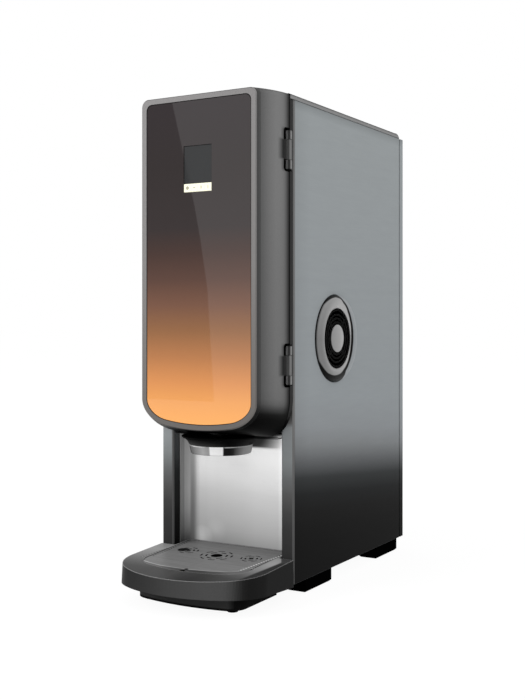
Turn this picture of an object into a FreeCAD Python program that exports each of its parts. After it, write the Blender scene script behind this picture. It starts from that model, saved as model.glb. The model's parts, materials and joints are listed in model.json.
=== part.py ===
import FreeCAD, Part
import math
import os

V = FreeCAD.Vector

# Instant coffee machine. Millimetres. X is to the right, Y goes back from the cabinet's front plane, Z is up.
# The finished parts are moved along Y at the end, so that the origin is the middle of the footprint.

# Cabinet
cab_w = 186.0
cab_d = 324.0
total_h = 584.0
foot_h = 18.0
sheet = 1.5
bend = 1.5
gap = 0.4
post_w = 17.0
post_lip = 12.0
rear_flange = 12.4
seam = 0.6

# Lid
lid_side = 6.0
lid_slope = 7.0
lid_overhang = 8.0
lid_corner = 3.2

# Door
door_front = -61.0
door_rear = -10.6
door_inset = 14.4
door_wall = 2.5
door_face_wall = 3.0
door_bottom_front = 196.0
door_bottom_rear = 187.0
ring_depth = 5.0
ring_width = 6.5
glass_t = 4.6
glass_gap = 0.8
liner_t = 2.5

# Display
display_w = 38.0
display_h = 43.0
display_drop = 80.9
key_h = 9.4
key_count = 4
key_gap = 0.5

# Front frame and gasket
frame_t = 7.0
frame_edge = 1.2
frame_w = 14.5
frame_bottom_w = 14.0
gasket_edge = 7.5
gasket_w = 4.0

# Door hinges
hinge_in = 0.5
hinge_y = -11.0
hinge_r = 3.8
hinge_len = 46.5
hinge_end = 2.6
hinge_pin_r = 2.0
hinge_rise = 84.5
hinge_drop = 65.4
hinge_clear = 1.2
pocket_reach = 11.5
pocket_end = 1.8
pocket_corner = 4.0
pocket_wall = 1.5
leaf_t = 1.5
leaf_w = 28.0
run_gap = 0.05

# Drip tray
tray_reach = 130.6
tray_top = 46.6
tray_slope = 0.044
tray_lean = 0.08
skirt_low = 15.0
skirt_slope = 0.055
tray_corner = 59.0
tray_bow = 121.1
tray_wall = 2.5
tray_deck = 3.0
tray_floor = 26.0
grid_reach = 94.5
grid_corner = 30.0
grid_bow = 160.0
grid_t = 2.0
carrier_side = 22.5
carrier_reach = 95.0
carrier_corner = 20.0
carrier_bow = 250.0
carrier_bottom = 3.5
pad_r = 7.0

# Niche and spout
niche_depth = 34.0
niche_bend = 8.0
shelf_z = 186.5
spout_y = -10.0
spout_top_r = 38.0
spout_low_r = 36.0
spout_flare_r = 47.0
spout_ring_h = 10.5
spout_ring_z = 166.0
spout_wall = 2.0
housing_t = 2.0

# Side vent and fan
vent_y = 107.0
vent_z = 300.5
vent_r = 54.7
vent_lip_r = 37.5
vent_rise = 6.0
vent_lip = 3.2
vent_cap_r = 17.0
fan_size = 92.0
fan_t = 25.0
fan_r = 43.0
fan_hub_r = 18.0
fan_blades = 7

# Canister
can_w = 116.0
can_front = 24.0
can_rear = 182.0
can_drop = 32.4
can_waist = 424.0
can_wall = 2.5
auger_z = 366.0
rail_z = 432.0
auger_r = 15.5
auger_pitch = 22.0
trough_r = 16.5
auger_shaft_r = 4.0
wheel_teeth = 12

# Mixer
mixer_z = 262.0
chamber_r = 27.0
funnel_r = 26.0
funnel_top = 322.0
funnel_y = 19.0
impeller_r = 22.0
mixer_wall = 2.0

# Technical space behind the partition
partition_y = 190.0
boiler_r = 50.0
boiler_clear = 11.5
boiler_y = 256.0
boiler_low = 62.0
boiler_h = 190.0
inlet_reach = 14.0
inlet_r = 13.2
inlet_collar = 2.0
inlet_in = 41.0
inlet_z = 62.0
socket_in = 37.0
socket_z = 150.0
switch_z = 192.0

# Boards, power supply and motors
main_board_w = 95.0
main_board_h = 200.0
main_board_drop = 37.4
board_off = 8.0
board_t = 1.6
door_board_w = 68.0
supply_w = 80.0
supply_d = 90.0
supply_h = 42.0
supply_y = 60.0
motor_r = 19.0
feeder_motor_len = 44.0
whipper_motor_len = 56.0
gearbox_w = 52.0
gearbox_t = 28.0

# Sizes worked out from the ones above
half = cab_w / 2
lid_low = total_h - lid_side
side_top = lid_low - seam
post_in = half - post_w
floor_top = foot_h + sheet
rear_edge = cab_d - rear_flange
mid_y = (cab_d + inlet_reach - tray_reach) / 2
door_top = total_h - 0.5
door_depth = door_rear - door_front
door_bow_r = (door_depth ** 2 + door_inset ** 2) / (2 * door_inset)
display_z = door_top - display_drop
hinge_x = half - hinge_in
hinge_z = (door_bottom_rear + hinge_rise, door_top - hinge_drop)
pocket_depth = hinge_in + hinge_r + hinge_clear
can_top = side_top - can_drop
boiler_x = boiler_r + boiler_clear + sheet - half
inlet_x = half - inlet_in
socket_x = half - socket_in


# Basic solids
def block(x, y, z):
    return Part.makeBox(x[1] - x[0], y[1] - y[0], z[1] - z[0], V(x[0], y[0], z[0]))


def rod(start, end, r):
    run = end - start
    return Part.makeCylinder(r, run.Length, start, run)


def tube(start, end, r_out, r_in):
    return rod(start, end, r_out).cut(rod(start, end, r_in))


def fuse(shapes):
    body = shapes[0].fuse(shapes[1:])
    return body.removeSplitter()


def mirrored(shape):
    return shape.mirror(V(0, 0, 0), V(1, 0, 0))


# Planes that flat outlines are drawn in
def plane_xz(y):
    return lambda a, b: V(a, y, b)


def plane_xy(z):
    return lambda a, b: V(a, b, z)


def plane_yz(x):
    return lambda a, b: V(x, a, b)


# A closed outline from a start point and steps: a point for a line, or two for an arc through the first
def outline(start, steps, place):
    edges = []
    here = start
    for step in steps:
        if isinstance(step[0], tuple):
            edges.append(Part.Arc(place(*here), place(*step[0]), place(*step[1])).toShape())
            here = step[1]
        else:
            edges.append(Part.LineSegment(place(*here), place(*step)).toShape())
            here = step
    if (place(*here) - place(*start)).Length > 1e-6:
        edges.append(Part.LineSegment(place(*here), place(*start)).toShape())
    return Part.Wire(edges)


def prism(wire, run):
    return Part.Face(wire).extrude(run)


def turned(start, steps, place, centre, axis):
    return Part.Face(outline(start, steps, place)).revolve(centre, axis, 360)


# Straight runs joined by tangent arcs
def bent_path(points, radius):
    edges = []
    here = points[0]
    for i in range(1, len(points) - 1):
        corner = points[i]
        u = (corner - points[i - 1]).normalize()
        v = (points[i + 1] - corner).normalize()
        turn = u.getAngle(v)
        r = radius[i - 1] if isinstance(radius, list) else radius
        back = r * math.tan(turn / 2)
        start = corner - u * back
        end = corner + v * back
        centre = corner + (v - u).normalize() * (r / math.cos(turn / 2))
        middle = centre + (corner - centre).normalize() * r
        if (start - here).Length > 1e-6:
            edges.append(Part.LineSegment(here, start).toShape())
        edges.append(Part.Arc(start, middle, end).toShape())
        here = end
    edges.append(Part.LineSegment(here, points[-1]).toShape())
    return edges


# Section of a folded sheet: points follow its outer face, and its thickness lies to their left
def folded(points, normal, t, r_in, run):
    last = len(points) - 1
    heads = [(points[i + 1] - points[i]).normalize() for i in range(last)]
    lefts = [normal.cross(h) for h in heads]
    inner = [points[0] + lefts[0] * t]
    outer_r = []
    inner_r = []
    for i in range(1, last):
        a, b = lefts[i - 1], lefts[i]
        inner.append(points[i] + (a + b) * (t / (1 + a.dot(b))))
        turns_left = heads[i - 1].cross(heads[i]).dot(normal) > 0
        outer_r.append(r_in + t if turns_left else r_in)
        inner_r.append(r_in if turns_left else r_in + t)
    inner.append(points[last] + lefts[-1] * t)
    edges = bent_path(points, outer_r)
    edges.append(Part.LineSegment(points[last], inner[-1]).toShape())
    edges += bent_path(inner[::-1], inner_r[::-1])
    edges.append(Part.LineSegment(inner[0], points[0]).toShape())
    return prism(Part.Wire(Part.__sortEdges__(edges)), run)


# A round hose or pipe along straight runs and arcs
def hose(points, bend_r, r_out, r_in):
    path = Part.Wire(bent_path(points, bend_r))
    head = (points[1] - points[0]).normalize()
    solids = []
    for r in (r_out, r_in):
        ring = Part.Wire(Part.makeCircle(r, points[0], head))
        solids.append(path.makePipeShell([ring], True, False))
    return solids[0].cut(solids[1])


# A soft quarter turn from one straight edge to the next, like an ellipse's quarter
def soft_corner(start, corner, end):
    k = 0.5523
    curve = Part.BezierCurve()
    curve.setPoles([start, start + (corner - start) * k, end + (corner - end) * k, end])
    return curve.toShape()


def blend(a, b, f):
    return a + (b - a) * f


# The door's outline at one depth, drawn in by an inset
def door_wire(y, inset=0.0, shrink=0.0):
    f = (door_rear - y) / door_depth
    side = door_bow_r - math.sqrt(door_bow_r ** 2 - (door_rear - y) ** 2)
    x = half - side - inset - shrink
    top = door_top - inset - shrink
    low = blend(door_bottom_rear, door_bottom_front, f) + inset + shrink
    top_r = blend(4.0, 9.0, f) - min(inset, 2.5) * 0.6
    corner_w = blend(27.0, 34.0, f) - inset
    corner_h = blend(46.0, 34.0, f) - inset
    bow = blend(1.2, 3.8, f)
    flat = x - corner_w
    slope = math.tan(2 * math.atan(bow / flat))
    p = plane_xz(y)
    right_end = p(flat, low + bow)
    left_end = p(-flat, low + bow)
    corner_z = low + bow + corner_w * slope
    edges = [
        Part.LineSegment(p(x - top_r, top), p(-x + top_r, top)).toShape(),
        soft_corner(p(-x + top_r, top), p(-x, top), p(-x, top - top_r)),
        Part.LineSegment(p(-x, top - top_r), p(-x, low + corner_h)).toShape(),
        soft_corner(p(-x, low + corner_h), p(-x, corner_z), left_end),
        Part.Arc(left_end, p(0, low), right_end).toShape(),
        soft_corner(right_end, p(x, corner_z), p(x, low + corner_h)),
        Part.LineSegment(p(x, low + corner_h), p(x, top - top_r)).toShape(),
        soft_corner(p(x, top - top_r), p(x, top), p(x - top_r, top)),
    ]
    return Part.Wire(edges)


def door_body(y_from, y_to, inset, steps):
    wires = [door_wire(blend(y_from, y_to, i / steps), inset) for i in range(steps + 1)]
    return Part.makeLoft(wires, True, False)


# Steps along the back of an outline, from its left side to its right one, with round corners
def rear_corners(x, y, r):
    c = r * (1 - math.sqrt(0.5))
    return [(-x, y - r), ((-x + c, y - c), (-x + r, y)), (x - r, y), ((x - c, y - c), (x, y - r))]


# The tray's outline: straight sides, round corners and a bowed front
def front_steps(x, reach, corner, bow):
    centre_x = x - corner
    rise = math.sqrt((bow - corner) ** 2 - centre_x ** 2)
    centre_y = bow - reach - rise
    stretch = bow / (bow - corner)
    tip = (centre_x * stretch, bow - reach - rise * stretch)
    lean = math.atan2(tip[1] - centre_y, tip[0] - centre_x) / 2
    mid = (centre_x + corner * math.cos(lean), centre_y + corner * math.sin(lean))
    return [(x, centre_y), (mid, tip), ((0, -reach), (-tip[0], tip[1])), ((-mid[0], mid[1]), (-x, centre_y))]


# A slab between two parallel planes that rise to the back, as wide as the tray
def slab(level, slope, thickness):
    front, back = -tray_reach - 20, niche_depth + 20
    a, b = level + slope * front, level + slope * back
    corners = [(back, b), (back, b + thickness), (front, a + thickness)]
    return prism(outline((front, a), corners, plane_yz(-half - 10)), V(2 * half + 20, 0, 0))


# Countersunk machine screw heads share one node
def screw(at, head_dir, r=3.0, length=8.0):
    head = Part.makeCone(r, r * 0.55, 1.6, at, head_dir * -1)
    shank = rod(at, at - head_dir * length, r * 0.5)
    return fuse([head, shank])


# Cabinet
def side_panel_left():
    points = [
        V(post_in, post_lip, foot_h),
        V(post_in, 0, foot_h),
        V(half, 0, foot_h),
        V(half, rear_edge - 3.0, foot_h),
        V(half - sheet - 0.2, rear_edge - 0.2, foot_h),
        V(half - sheet - 0.2, rear_edge + 8.0, foot_h),
    ]
    return mirrored(folded(points, V(0, 0, 1), sheet, bend, V(0, 0, side_top - foot_h)))


def side_panel_right():
    hole = rod(V(half - 10, vent_y, vent_z), V(half + 5, vent_y, vent_z), vent_r - 5.0)
    return mirrored(side_panel_left()).cut(hole)


def base_plate():
    x = half - sheet
    lip = 16.0
    front = post_lip + 1
    high = foot_h + lip
    points = [V(-x, front, high), V(-x, front, foot_h), V(x, front, foot_h), V(x, front, high)]
    pan = folded(points, V(0, -1, 0), sheet, bend, V(0, rear_edge - 4.0 - front, 0))
    tail = block((-x + 4, x - 4), (rear_edge - 6, cab_d - sheet), (foot_h, floor_top))
    return fuse([pan, tail])


def feet():
    length, width, lead = 68.0, 26.0, 2.0
    blocks = []
    for y in (36.5, rear_edge - 3.0 - length):
        low = outline((half - 4 - lead, y + lead), [
            (half - 4 - lead, y + length - lead), (half - 4 - width + lead, y + length - lead),
            (half - 4 - width + lead, y + lead)], plane_xy(0))
        high = outline((half - 4, y), [
            (half - 4, y + length), (half - 4 - width, y + length), (half - 4 - width, y)], plane_xy(lead))
        block_top = block((half - 4 - width, half - 4), (y, y + length), (lead, foot_h))
        blocks.append(fuse([Part.makeLoft([low, high], True, True), block_top]))
    return Part.makeCompound(blocks + [mirrored(b) for b in blocks] + carrier_pads())


def rear_cover():
    corners = ((-half, rear_edge), (-half, cab_d), (half, cab_d), (half, rear_edge))
    points = [V(x, y, foot_h) for x, y in corners]
    shell = folded(points, V(0, 0, -1), sheet, bend, V(0, 0, side_top - foot_h))
    flange_x = half - 2 * sheet - 0.5
    top = block((-flange_x, flange_x), (rear_edge + 2, cab_d - sheet / 2), (side_top - sheet, side_top))
    cuts = []
    slot_len = half - 37.0
    for row in range(9):
        for x in (-half + 51.0, half - 51.0):
            cuts.append(slot_cut(x, side_top - 65.4 - row * 14.0, slot_len, 4.0))
    hole_r = inlet_r + inlet_collar + 0.6
    cuts.append(rod(V(inlet_x, cab_d - 5, inlet_z), V(inlet_x, cab_d + 5, inlet_z), hole_r))
    through = (cab_d - 5, cab_d + 5)
    cuts.append(block((socket_x - 13.7, socket_x + 13.7), through, (socket_z - 10, socket_z + 10)))
    cuts.append(block((socket_x - 10.9, socket_x + 10.9), through, (switch_z - 6.4, switch_z + 6.4)))
    return fuse([shell, top]).cut(cuts)


def slot_cut(x, z, length, width):
    r = width / 2
    flat = length / 2 - r
    wire = outline((x - flat, z - r), [
        (x + flat, z - r), ((x + flat + r, z), (x + flat, z + r)),
        (x - flat, z + r), ((x - flat - r, z), (x - flat, z - r))], plane_xz(cab_d - 5))
    return prism(wire, V(0, 10, 0))


def shelf():
    x = half - sheet
    back = partition_y - 1
    points = [V(x, post_lip + 1, shelf_z - 12), V(x, post_lip + 1, shelf_z + sheet),
              V(-x, post_lip + 1, shelf_z + sheet), V(-x, post_lip + 1, shelf_z - 12)]
    tray = folded(points, V(0, -1, 0), sheet, bend, V(0, back - post_lip - 1, 0))
    tongue = block((-post_in + 1, post_in - 1), (0.5, post_lip + 2), (shelf_z, shelf_z + sheet))
    hole_r = outlet_r + 3.5
    hole = rod(V(0, outlet_y, shelf_z - 5), V(0, outlet_y, shelf_z + 5), hole_r)
    notch = block((-hole_r, hole_r), (-1, outlet_y), (shelf_z - 5, shelf_z + 5))
    return fuse([tray, tongue]).cut([hole, notch])


def partition():
    x = half - sheet
    plate = block((-x, x), (partition_y, partition_y + sheet), (floor_top, side_top - 3))
    lip_room = ((partition_y - 1, partition_y + 3), (floor_top - 1, floor_top + 16))
    corner_cut = [block((s * x - 3.2, s * x + 3.2), *lip_room) for s in (-1, 1)]
    drive_hole = rod(V(0, partition_y - 5, auger_z), V(0, partition_y + 5, auger_z), 15.0)
    hose_hole = rod(V(0, partition_y - 5, water_z), V(0, partition_y + 5, water_z), 8.0)
    plate = plate.cut(corner_cut + [drive_hole, hose_hole])
    rails = []
    for s in (-1, 1):
        a, b = sorted((s * (can_w / 2 + 2), s * x))
        rails.append(block((a, b), (can_front + 10, partition_y), (rail_z - sheet, rail_z)))
        a, b = sorted((s * (x - sheet), s * x))
        rails.append(block((a, b), (can_front + 10, partition_y), (rail_z - sheet, rail_z + 14)))
    return fuse([plate] + rails)


def niche_panel():
    x = post_in - 0.4
    front = post_lip + 1
    corners = ((x, front), (x, niche_depth), (-x, niche_depth), (-x, front))
    points = [V(a, b, floor_top) for a, b in corners]
    return folded(points, V(0, 0, 1), 1.0, niche_bend, V(0, 0, shelf_z - floor_top))


def top_lid():
    x = half
    path = [V(-x, 0, lid_low), V(-x, 0, total_h), V(x, 0, total_h), V(x, 0, lid_low)]
    shell = folded(path, V(0, 1, 0), sheet, bend, V(0, rear_edge + lid_overhang, 0))
    shell.translate(V(0, -lid_overhang, 0))
    front = block((-x + sheet, x - sheet), (-lid_overhang, -lid_overhang + sheet), (lid_low, total_h - sheet))
    end = lid_pivot_y - 0.3
    slope = outline((end - lid_slope, total_h), [(end, lid_low), (end, lid_low - 1), (end + 5, lid_low - 1),
                    (end + 5, total_h + 1), (end - lid_slope, total_h + 1)], plane_yz(-x - 1))
    slope = prism(slope, V(2 * x + 2, 0, 0))
    shell = fuse([shell, front]).cut(slope)
    thick = sheet * 1.2
    plate = outline((end - lid_slope, total_h), [(end, lid_low), (end - thick, lid_low),
                    (end - lid_slope - thick, total_h)], plane_yz(-x + sheet))
    plate = prism(plate, V(2 * (x - sheet), 0, 0))
    notches = [block((s * lid_hinge_x - 20, s * lid_hinge_x + 20), (rear_edge - 12, rear_edge + 1),
                     (lid_low - 1, total_h - sheet)) for s in (-1, 1)]
    r = lid_corner
    corner = block((half - r, half + 1), (-lid_overhang - 1, r - lid_overhang), (lid_low - 1, total_h + 1))
    round_r = rod(V(half - r, r - lid_overhang, lid_low - 2), V(half - r, r - lid_overhang, total_h + 2), r)
    corner = corner.cut(round_r)
    return fuse([shell, plate.cut(notches)]).cut([corner, mirrored(corner)])


# A butt hinge along X: the lid's leaves lie under its top, the others under the rear cover's top flange
lid_hinge_x = half - 41.0
lid_hinge_r = 2.2
lid_pin_r = 1.1
lid_pivot_y = rear_edge - 1.6
lid_pivot_z = side_top + 0.2


def lid_hinge_fixed():
    pieces = []
    for s in (-1, 1):
        a, b = s * lid_hinge_x - 18, s * lid_hinge_x + 18
        at = lambda x: V(x, lid_pivot_y, lid_pivot_z)
        knuckles = [rod(at(a), at(a + 9), lid_hinge_r), rod(at(b - 9), at(b), lid_hinge_r)]
        pin = rod(at(a), at(b), lid_pin_r)
        under = side_top - sheet
        leaf = block((a, b), (lid_pivot_y + 2.7, cab_d - sheet - 0.5), (under - 1.2, under))
        arm = ((lid_pivot_y - 1, lid_pivot_y + 3.2), (under - 1.2, under + 0.6))
        arms = [block((x, x + 9), *arm) for x in (a, b - 9)]
        pieces.append(fuse(knuckles + [pin, leaf] + arms))
    return Part.makeCompound(pieces)


def lid_hinge_moving():
    pieces = []
    for s in (-1, 1):
        a, b = s * lid_hinge_x - 8.5, s * lid_hinge_x + 8.5
        at = lambda x: V(x, lid_pivot_y, lid_pivot_z)
        under = total_h - sheet
        leaf = block((a, b), (lid_pivot_y - 24, lid_pivot_y), (under - 1.2, under))
        web = block((a, b), (lid_pivot_y - 1.8, lid_pivot_y + 0.3), (lid_pivot_z, under))
        body = fuse([rod(at(a), at(b), lid_hinge_r), leaf, web])
        pieces.append(body.cut(rod(at(a - 1), at(b + 1), lid_pin_r + run_gap)))
    return Part.makeCompound(pieces)


# Front frame, gasket and catches
def front_frame():
    outer = prism(door_wire(door_rear, frame_edge), V(0, frame_t, 0))
    outer.translate(V(0, -frame_t - door_rear, 0))
    inner = block((-half + frame_w + frame_edge, half - frame_w - frame_edge), (-20, 20),
                  (door_bottom_rear + frame_bottom_w + 2, door_top - frame_w - 5))
    top_cut = block((-half, half), (-20, 20), (side_top, total_h))
    cuts = [inner, top_cut]
    for z in hinge_z:
        h = hinge_len / 2 + gap
        cuts.append(block((half - pocket_depth, half + 1), (-20, 20), (z - h, z + h)))
        cuts.append(block((hinge_x - 13, half + 1), (-leaf_t - 0.1, 20), (z - h, z + h)))
    return outer.cut(cuts)


def door_gasket():
    rings = [prism(door_wire(door_rear, e), V(0, -frame_t - door_rear - 0.3, 0)) for e in
             (gasket_edge, gasket_edge + gasket_w)]
    seal = rings[0].cut(rings[1])
    seal.translate(V(0, 0.3, 0))
    return seal


catch_z = (hinge_z[0] - 27.5, hinge_z[1] - 15.5)
catch_x = -post_in


def magnet_catches():
    bodies = []
    for z in catch_z:
        case = block((catch_x, catch_x + 13), (door_rear + 1.0, post_lip), (z - 20, z + 20))
        slot = block((catch_x + 3, catch_x + 10), (door_rear, door_rear + 3), (z - 16, z + 16))
        bodies.append(case.cut(slot))
    return Part.makeCompound(bodies)


def catch_strikers():
    return Part.makeCompound([
        block((catch_x + 1, catch_x + 12), (door_rear - 1.5, door_rear), (z - 18, z + 18)) for z in catch_z])


# The pocket in the door's side round a hinge, open to the back, or the wall's outside
def hinge_pocket(z, wall):
    front = hinge_y - pocket_reach - wall
    h = hinge_len / 2 + pocket_end + wall
    r = pocket_corner + wall
    c = r * (1 - math.sqrt(0.5))
    steps = [(front + r, z - h), ((front + c, z - h + c), (front, z - h + r)), (front, z + h - r),
             ((front + c, z + h - c), (front + r, z + h)), (0, z + h)]
    deep = pocket_depth + wall
    return prism(outline((0, z - h), steps, plane_yz(half - deep)), V(deep + 1, 0, 0))


# Door
def door_shell():
    front = door_front + ring_depth
    outer = door_body(door_rear, front, 0.0, 4)
    cavity = door_body(door_rear, front + door_face_wall, door_wall, 4)
    window = block((-display_w / 2 - 3, display_w / 2 + 3), (front - 1, front + 5),
                   (display_low() - 4, display_z + display_h / 2 + 4))
    walls = [outer.common(hinge_pocket(z, pocket_wall)) for z in hinge_z]
    cuts = []
    for z in hinge_z:
        m = hinge_len / 4 + 0.3
        cuts.append(hinge_pocket(z, 0))
        cuts.append(block((hinge_x - leaf_w, half), (door_rear - leaf_t - 0.5, 0), (z - m, z + m)))
    return fuse([outer.cut([cavity, window])] + walls).cut(cuts)


def display_low():
    return display_z - display_h / 2 - key_h - key_gap


def door_ring():
    y = door_front + ring_depth
    edge = 0.8
    back = Part.makeLoft([door_wire(y), door_wire(door_front + edge)], True, True)
    face = Part.makeLoft([door_wire(door_front + edge), door_wire(door_front, 0.0, edge)], True, True)
    hole = door_wire(door_front, ring_width)
    hole.translate(V(0, -1, 0))
    return fuse([back, face]).cut(prism(hole, V(0, ring_depth + 2, 0)))


def glass_panel():
    wire = door_wire(door_front, ring_width + glass_gap)
    wire.translate(V(0, 0.4, 0))
    pane = prism(wire, V(0, glass_t, 0))
    w = display_w / 2 + 0.3
    low, high = display_low() - 0.4, display_z + display_h / 2 + 0.4
    window = block((-w, w), (door_front - 1, door_front + 8), (low, high))
    return pane.cut(window)


def display_lens():
    w = display_w / 2
    low, high = display_z - display_h / 2, display_z + display_h / 2
    return block((-w, w), (door_front + 1.2, door_front + 3.2), (low, high))


def touch_keys():
    pitch = display_w / key_count
    low = display_low()
    keys = []
    for i in range(key_count):
        x = -display_w / 2 + i * pitch
        depth = (door_front + 0.7, door_front + 3.2)
        keys.append(block((x + 0.15, x + pitch - 0.15), depth, (low, low + key_h)))
    return Part.makeCompound(keys)


def display_module():
    w = display_w / 2 + 2.5
    low, high = display_low() - 3.5, display_z + display_h / 2 + 3.5
    case = block((-w, w), (door_front + ring_depth, door_front + ring_depth + 12), (low, high))
    depth = (door_front + 3.2, door_front + ring_depth + 1)
    nose = block((-display_w / 2, display_w / 2), depth, (low + 3.5, high - 3.5))
    return fuse([case, nose])


board_y = door_front + ring_depth + 20.0


def door_board():
    low, high = display_low() - 60, display_z + 40
    x = door_board_w / 2
    face = board_y + board_t
    board = block((-x, x), (board_y, face), (low, high))
    posts = []
    for a in (4 - x, x - 4):
        for z in (low + 6, high - 6):
            posts.append(rod(V(a, door_front + ring_depth + door_face_wall, z), V(a, board_y, z), 3.0))
    chips = [block((22 - x, 44 - x), (face, face + 2.4), (high - 40, high - 20)),
             block((14 - x, x - 14), (face, face + 7.4), (low + 4, low + 14))]
    return fuse([board] + posts + chips)


def door_liner():
    plate = door_body(door_rear, door_rear - liner_t, door_wall + 0.3, 1)
    cuts = []
    for z in hinge_z:
        cuts.append(hinge_pocket(z, pocket_wall + 0.3))
        m = hinge_len / 4 + 0.3
        cuts.append(block((hinge_x - leaf_w - 0.3, half), (door_rear - leaf_t - 0.5, 0), (z - m, z + m)))
    for z in catch_z:
        cuts.append(block((catch_x + 0.8, catch_x + 12.2), (door_rear - 1.5, 0), (z - 18.2, z + 18.2)))
    rib_x = half - 23.0
    rib_z = (door_bottom_rear + 143, display_z - 82.6, door_top - 33.5)
    rib_y = (door_rear - liner_t - 6, door_rear - liner_t)
    ribs = [block((-rib_x, rib_x), rib_y, (z - 1, z + 1)) for z in rib_z]
    return fuse([plate.cut(cuts)] + ribs)


# A knuckle with a round outer end; s is 1 for the upper one and -1 for the lower one
def end_knuckle(z, s, length):
    h = hinge_len / 2
    c = hinge_end * (1 - math.sqrt(0.5))
    round_end = ((hinge_r - c, h - c), (hinge_r, h - hinge_end))
    steps = [(hinge_r - hinge_end, h), round_end, (hinge_r, h - length), (0, h - length)]
    place = lambda a, b: V(hinge_x + a, hinge_y, z + s * b)
    return turned((0, h), steps, place, V(hinge_x, hinge_y, z), V(0, 0, 1))


def door_hinge_fixed():
    bodies = []
    arm_x = (half - 4.1, half - 1.1)
    for z in hinge_z:
        h = hinge_len / 2
        k = hinge_len / 4 - 0.25
        low, high = (z - h + 1, z - h + k), (z + h - k, z + h - 1)
        knuckles = [end_knuckle(z, s, k) for s in (-1, 1)]
        arms = [block(arm_x, (hinge_y, 0), span) for span in (low, high)]
        leaf = block((hinge_x - 12.5, arm_x[1]), (-leaf_t, 0), (z - h, z + h))
        pin = rod(V(hinge_x, hinge_y, z - h + 1), V(hinge_x, hinge_y, z + h - 1), hinge_pin_r)
        bodies.append(fuse(knuckles + arms + [leaf, pin]))
    return Part.makeCompound(bodies)


def door_hinge_moving():
    bodies = []
    for z in hinge_z:
        m = hinge_len / 4 - 0.25
        at = lambda dz: V(hinge_x, hinge_y, z + dz)
        leaf = block((hinge_x - leaf_w, hinge_x), (door_rear - leaf_t - 0.2, door_rear - 0.2), (z - m, z + m))
        web = block((half - 4.1, half - 1.1), (hinge_y - pocket_reach + 0.3, hinge_y), (z - m, z + m))
        body = fuse([rod(at(-m), at(m), hinge_r), leaf, web])
        bodies.append(body.cut(rod(at(-m - 1), at(m + 1), hinge_pin_r + run_gap)))
    return Part.makeCompound(bodies)


# Drip tray
tongue_half = post_in - 2.4
tongue_back = niche_depth - 1.6
basin_x = tongue_half - tray_wall
grid_top = tray_top - 0.6
skirt_front = skirt_low + skirt_slope * tray_reach


# The skirt's outline leans in towards the rim, and a tongue at the back reaches into the niche
def skirt_wire(z, inset):
    reach = tray_reach - tray_lean * (z - skirt_front) - inset
    steps = front_steps(half - inset, reach, tray_corner - inset, tray_bow - inset)
    back = -0.6 - inset
    steps += [(-half + inset, back), (-tongue_half + inset, back)]
    steps += rear_corners(tongue_half - inset, tongue_back - inset, niche_bend - inset)
    steps.append((tongue_half - inset, back))
    return outline((half - inset, back), steps, plane_xy(z))


def basin_prism(z, inset, height=60):
    steps = front_steps(basin_x - inset, grid_reach - inset, grid_corner - inset, grid_bow - inset)
    rear = rear_corners(basin_x - inset, tongue_back - 3 - inset, niche_bend - tray_wall - inset)
    return prism(outline(rear[-1][1], steps + rear, plane_xy(z)), V(0, 0, height))


def drip_tray():
    low, high = skirt_low - 6, tray_top + 6
    outer = Part.makeLoft([skirt_wire(low, 0), skirt_wire(high, 0)], True, True)
    outer = outer.cut([slab(tray_top, tray_slope, 40), slab(skirt_low, -skirt_slope, -40)])
    under = Part.makeLoft([skirt_wire(low - 1, tray_wall), skirt_wire(high, tray_wall)], True, True)
    under = under.cut(slab(tray_top - tray_deck, tray_slope, 40))
    rear_room = block((-half + tray_wall, half - tray_wall), (-tray_corner, niche_depth), (0, tray_floor))
    basin_low = tray_floor - 1.5
    basin_out = basin_prism(basin_low, 0).cut(slab(tray_top - 1, tray_slope, 60))
    seat = basin_prism(tray_floor, -gap).cut(slab(grid_top - grid_t, tray_slope, -60))
    ledge = basin_prism(tray_floor, -gap - 2).common(slab(grid_top - grid_t - 3, tray_slope, 4))
    body = fuse([outer.cut([under, rear_room]), basin_out, ledge.common(outer)])
    return body.cut([basin_prism(basin_low + tray_wall, tray_wall), seat])


# A slot along an arc in the drip grid
def arc_slot(centre, r, start, end, width):
    at = lambda radius, a: (centre[0] + radius * math.cos(a), centre[1] + radius * math.sin(a))
    mid = (start + end) / 2
    a, b = r - width / 2, r + width / 2
    steps = [(at(b, mid), at(b, end)), at(a, end), (at(a, mid), at(a, start))]
    return prism(outline(at(b, start), steps, plane_xy(-1)), V(0, 0, grid_t + 2))


def drain_hole(x, y, r):
    return rod(V(x, y, -1), V(x, y, grid_t + 1), r)


def drip_grid():
    plate = basin_prism(0, 0, grid_t)
    middle = (0.0, -20.0)
    holes = [drain_hole(middle[0], middle[1], 7.0), drain_hole(0.0, 2 - grid_reach, 4.0)]
    rings = [(middle, 12.5, 6, 2.2), (middle, 19.0, 8, 1.8)]
    for side in (-1, 1):
        cluster = (side * (basin_x - 27.0), -14.0)
        holes.append(drain_hole(cluster[0], cluster[1], 3.0))
        rings += [(cluster, 7.0, 4, 2.0), (cluster, 12.0, 6, 1.6)]
        row_x = side * (basin_x - 3.4)
        for k in range(16):
            y = 16.0 - k * 4.6
            holes.append(block((row_x - 0.8, row_x + 0.8), (y - 1.1, y + 1.1), (-1, grid_t + 1)))
    for centre, r, count, width in rings:
        for k in range(count):
            start = 2 * math.pi * k / count
            holes.append(arc_slot(centre, r, start, start + 1.15 * math.pi / count, width))
    grid = plate.cut(holes)
    grid.rotate(V(0, 0, 0), V(1, 0, 0), math.degrees(math.atan(tray_slope)))
    grid.translate(V(0, 0, grid_top - grid_t))
    return grid


def carrier_wire(z, inset):
    x, back = half - carrier_side - inset, -0.6 - inset
    steps = front_steps(x, carrier_reach - inset, carrier_corner - inset, carrier_bow - inset)
    return outline((x, back), steps + [(-x, back)], plane_xy(z))


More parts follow.
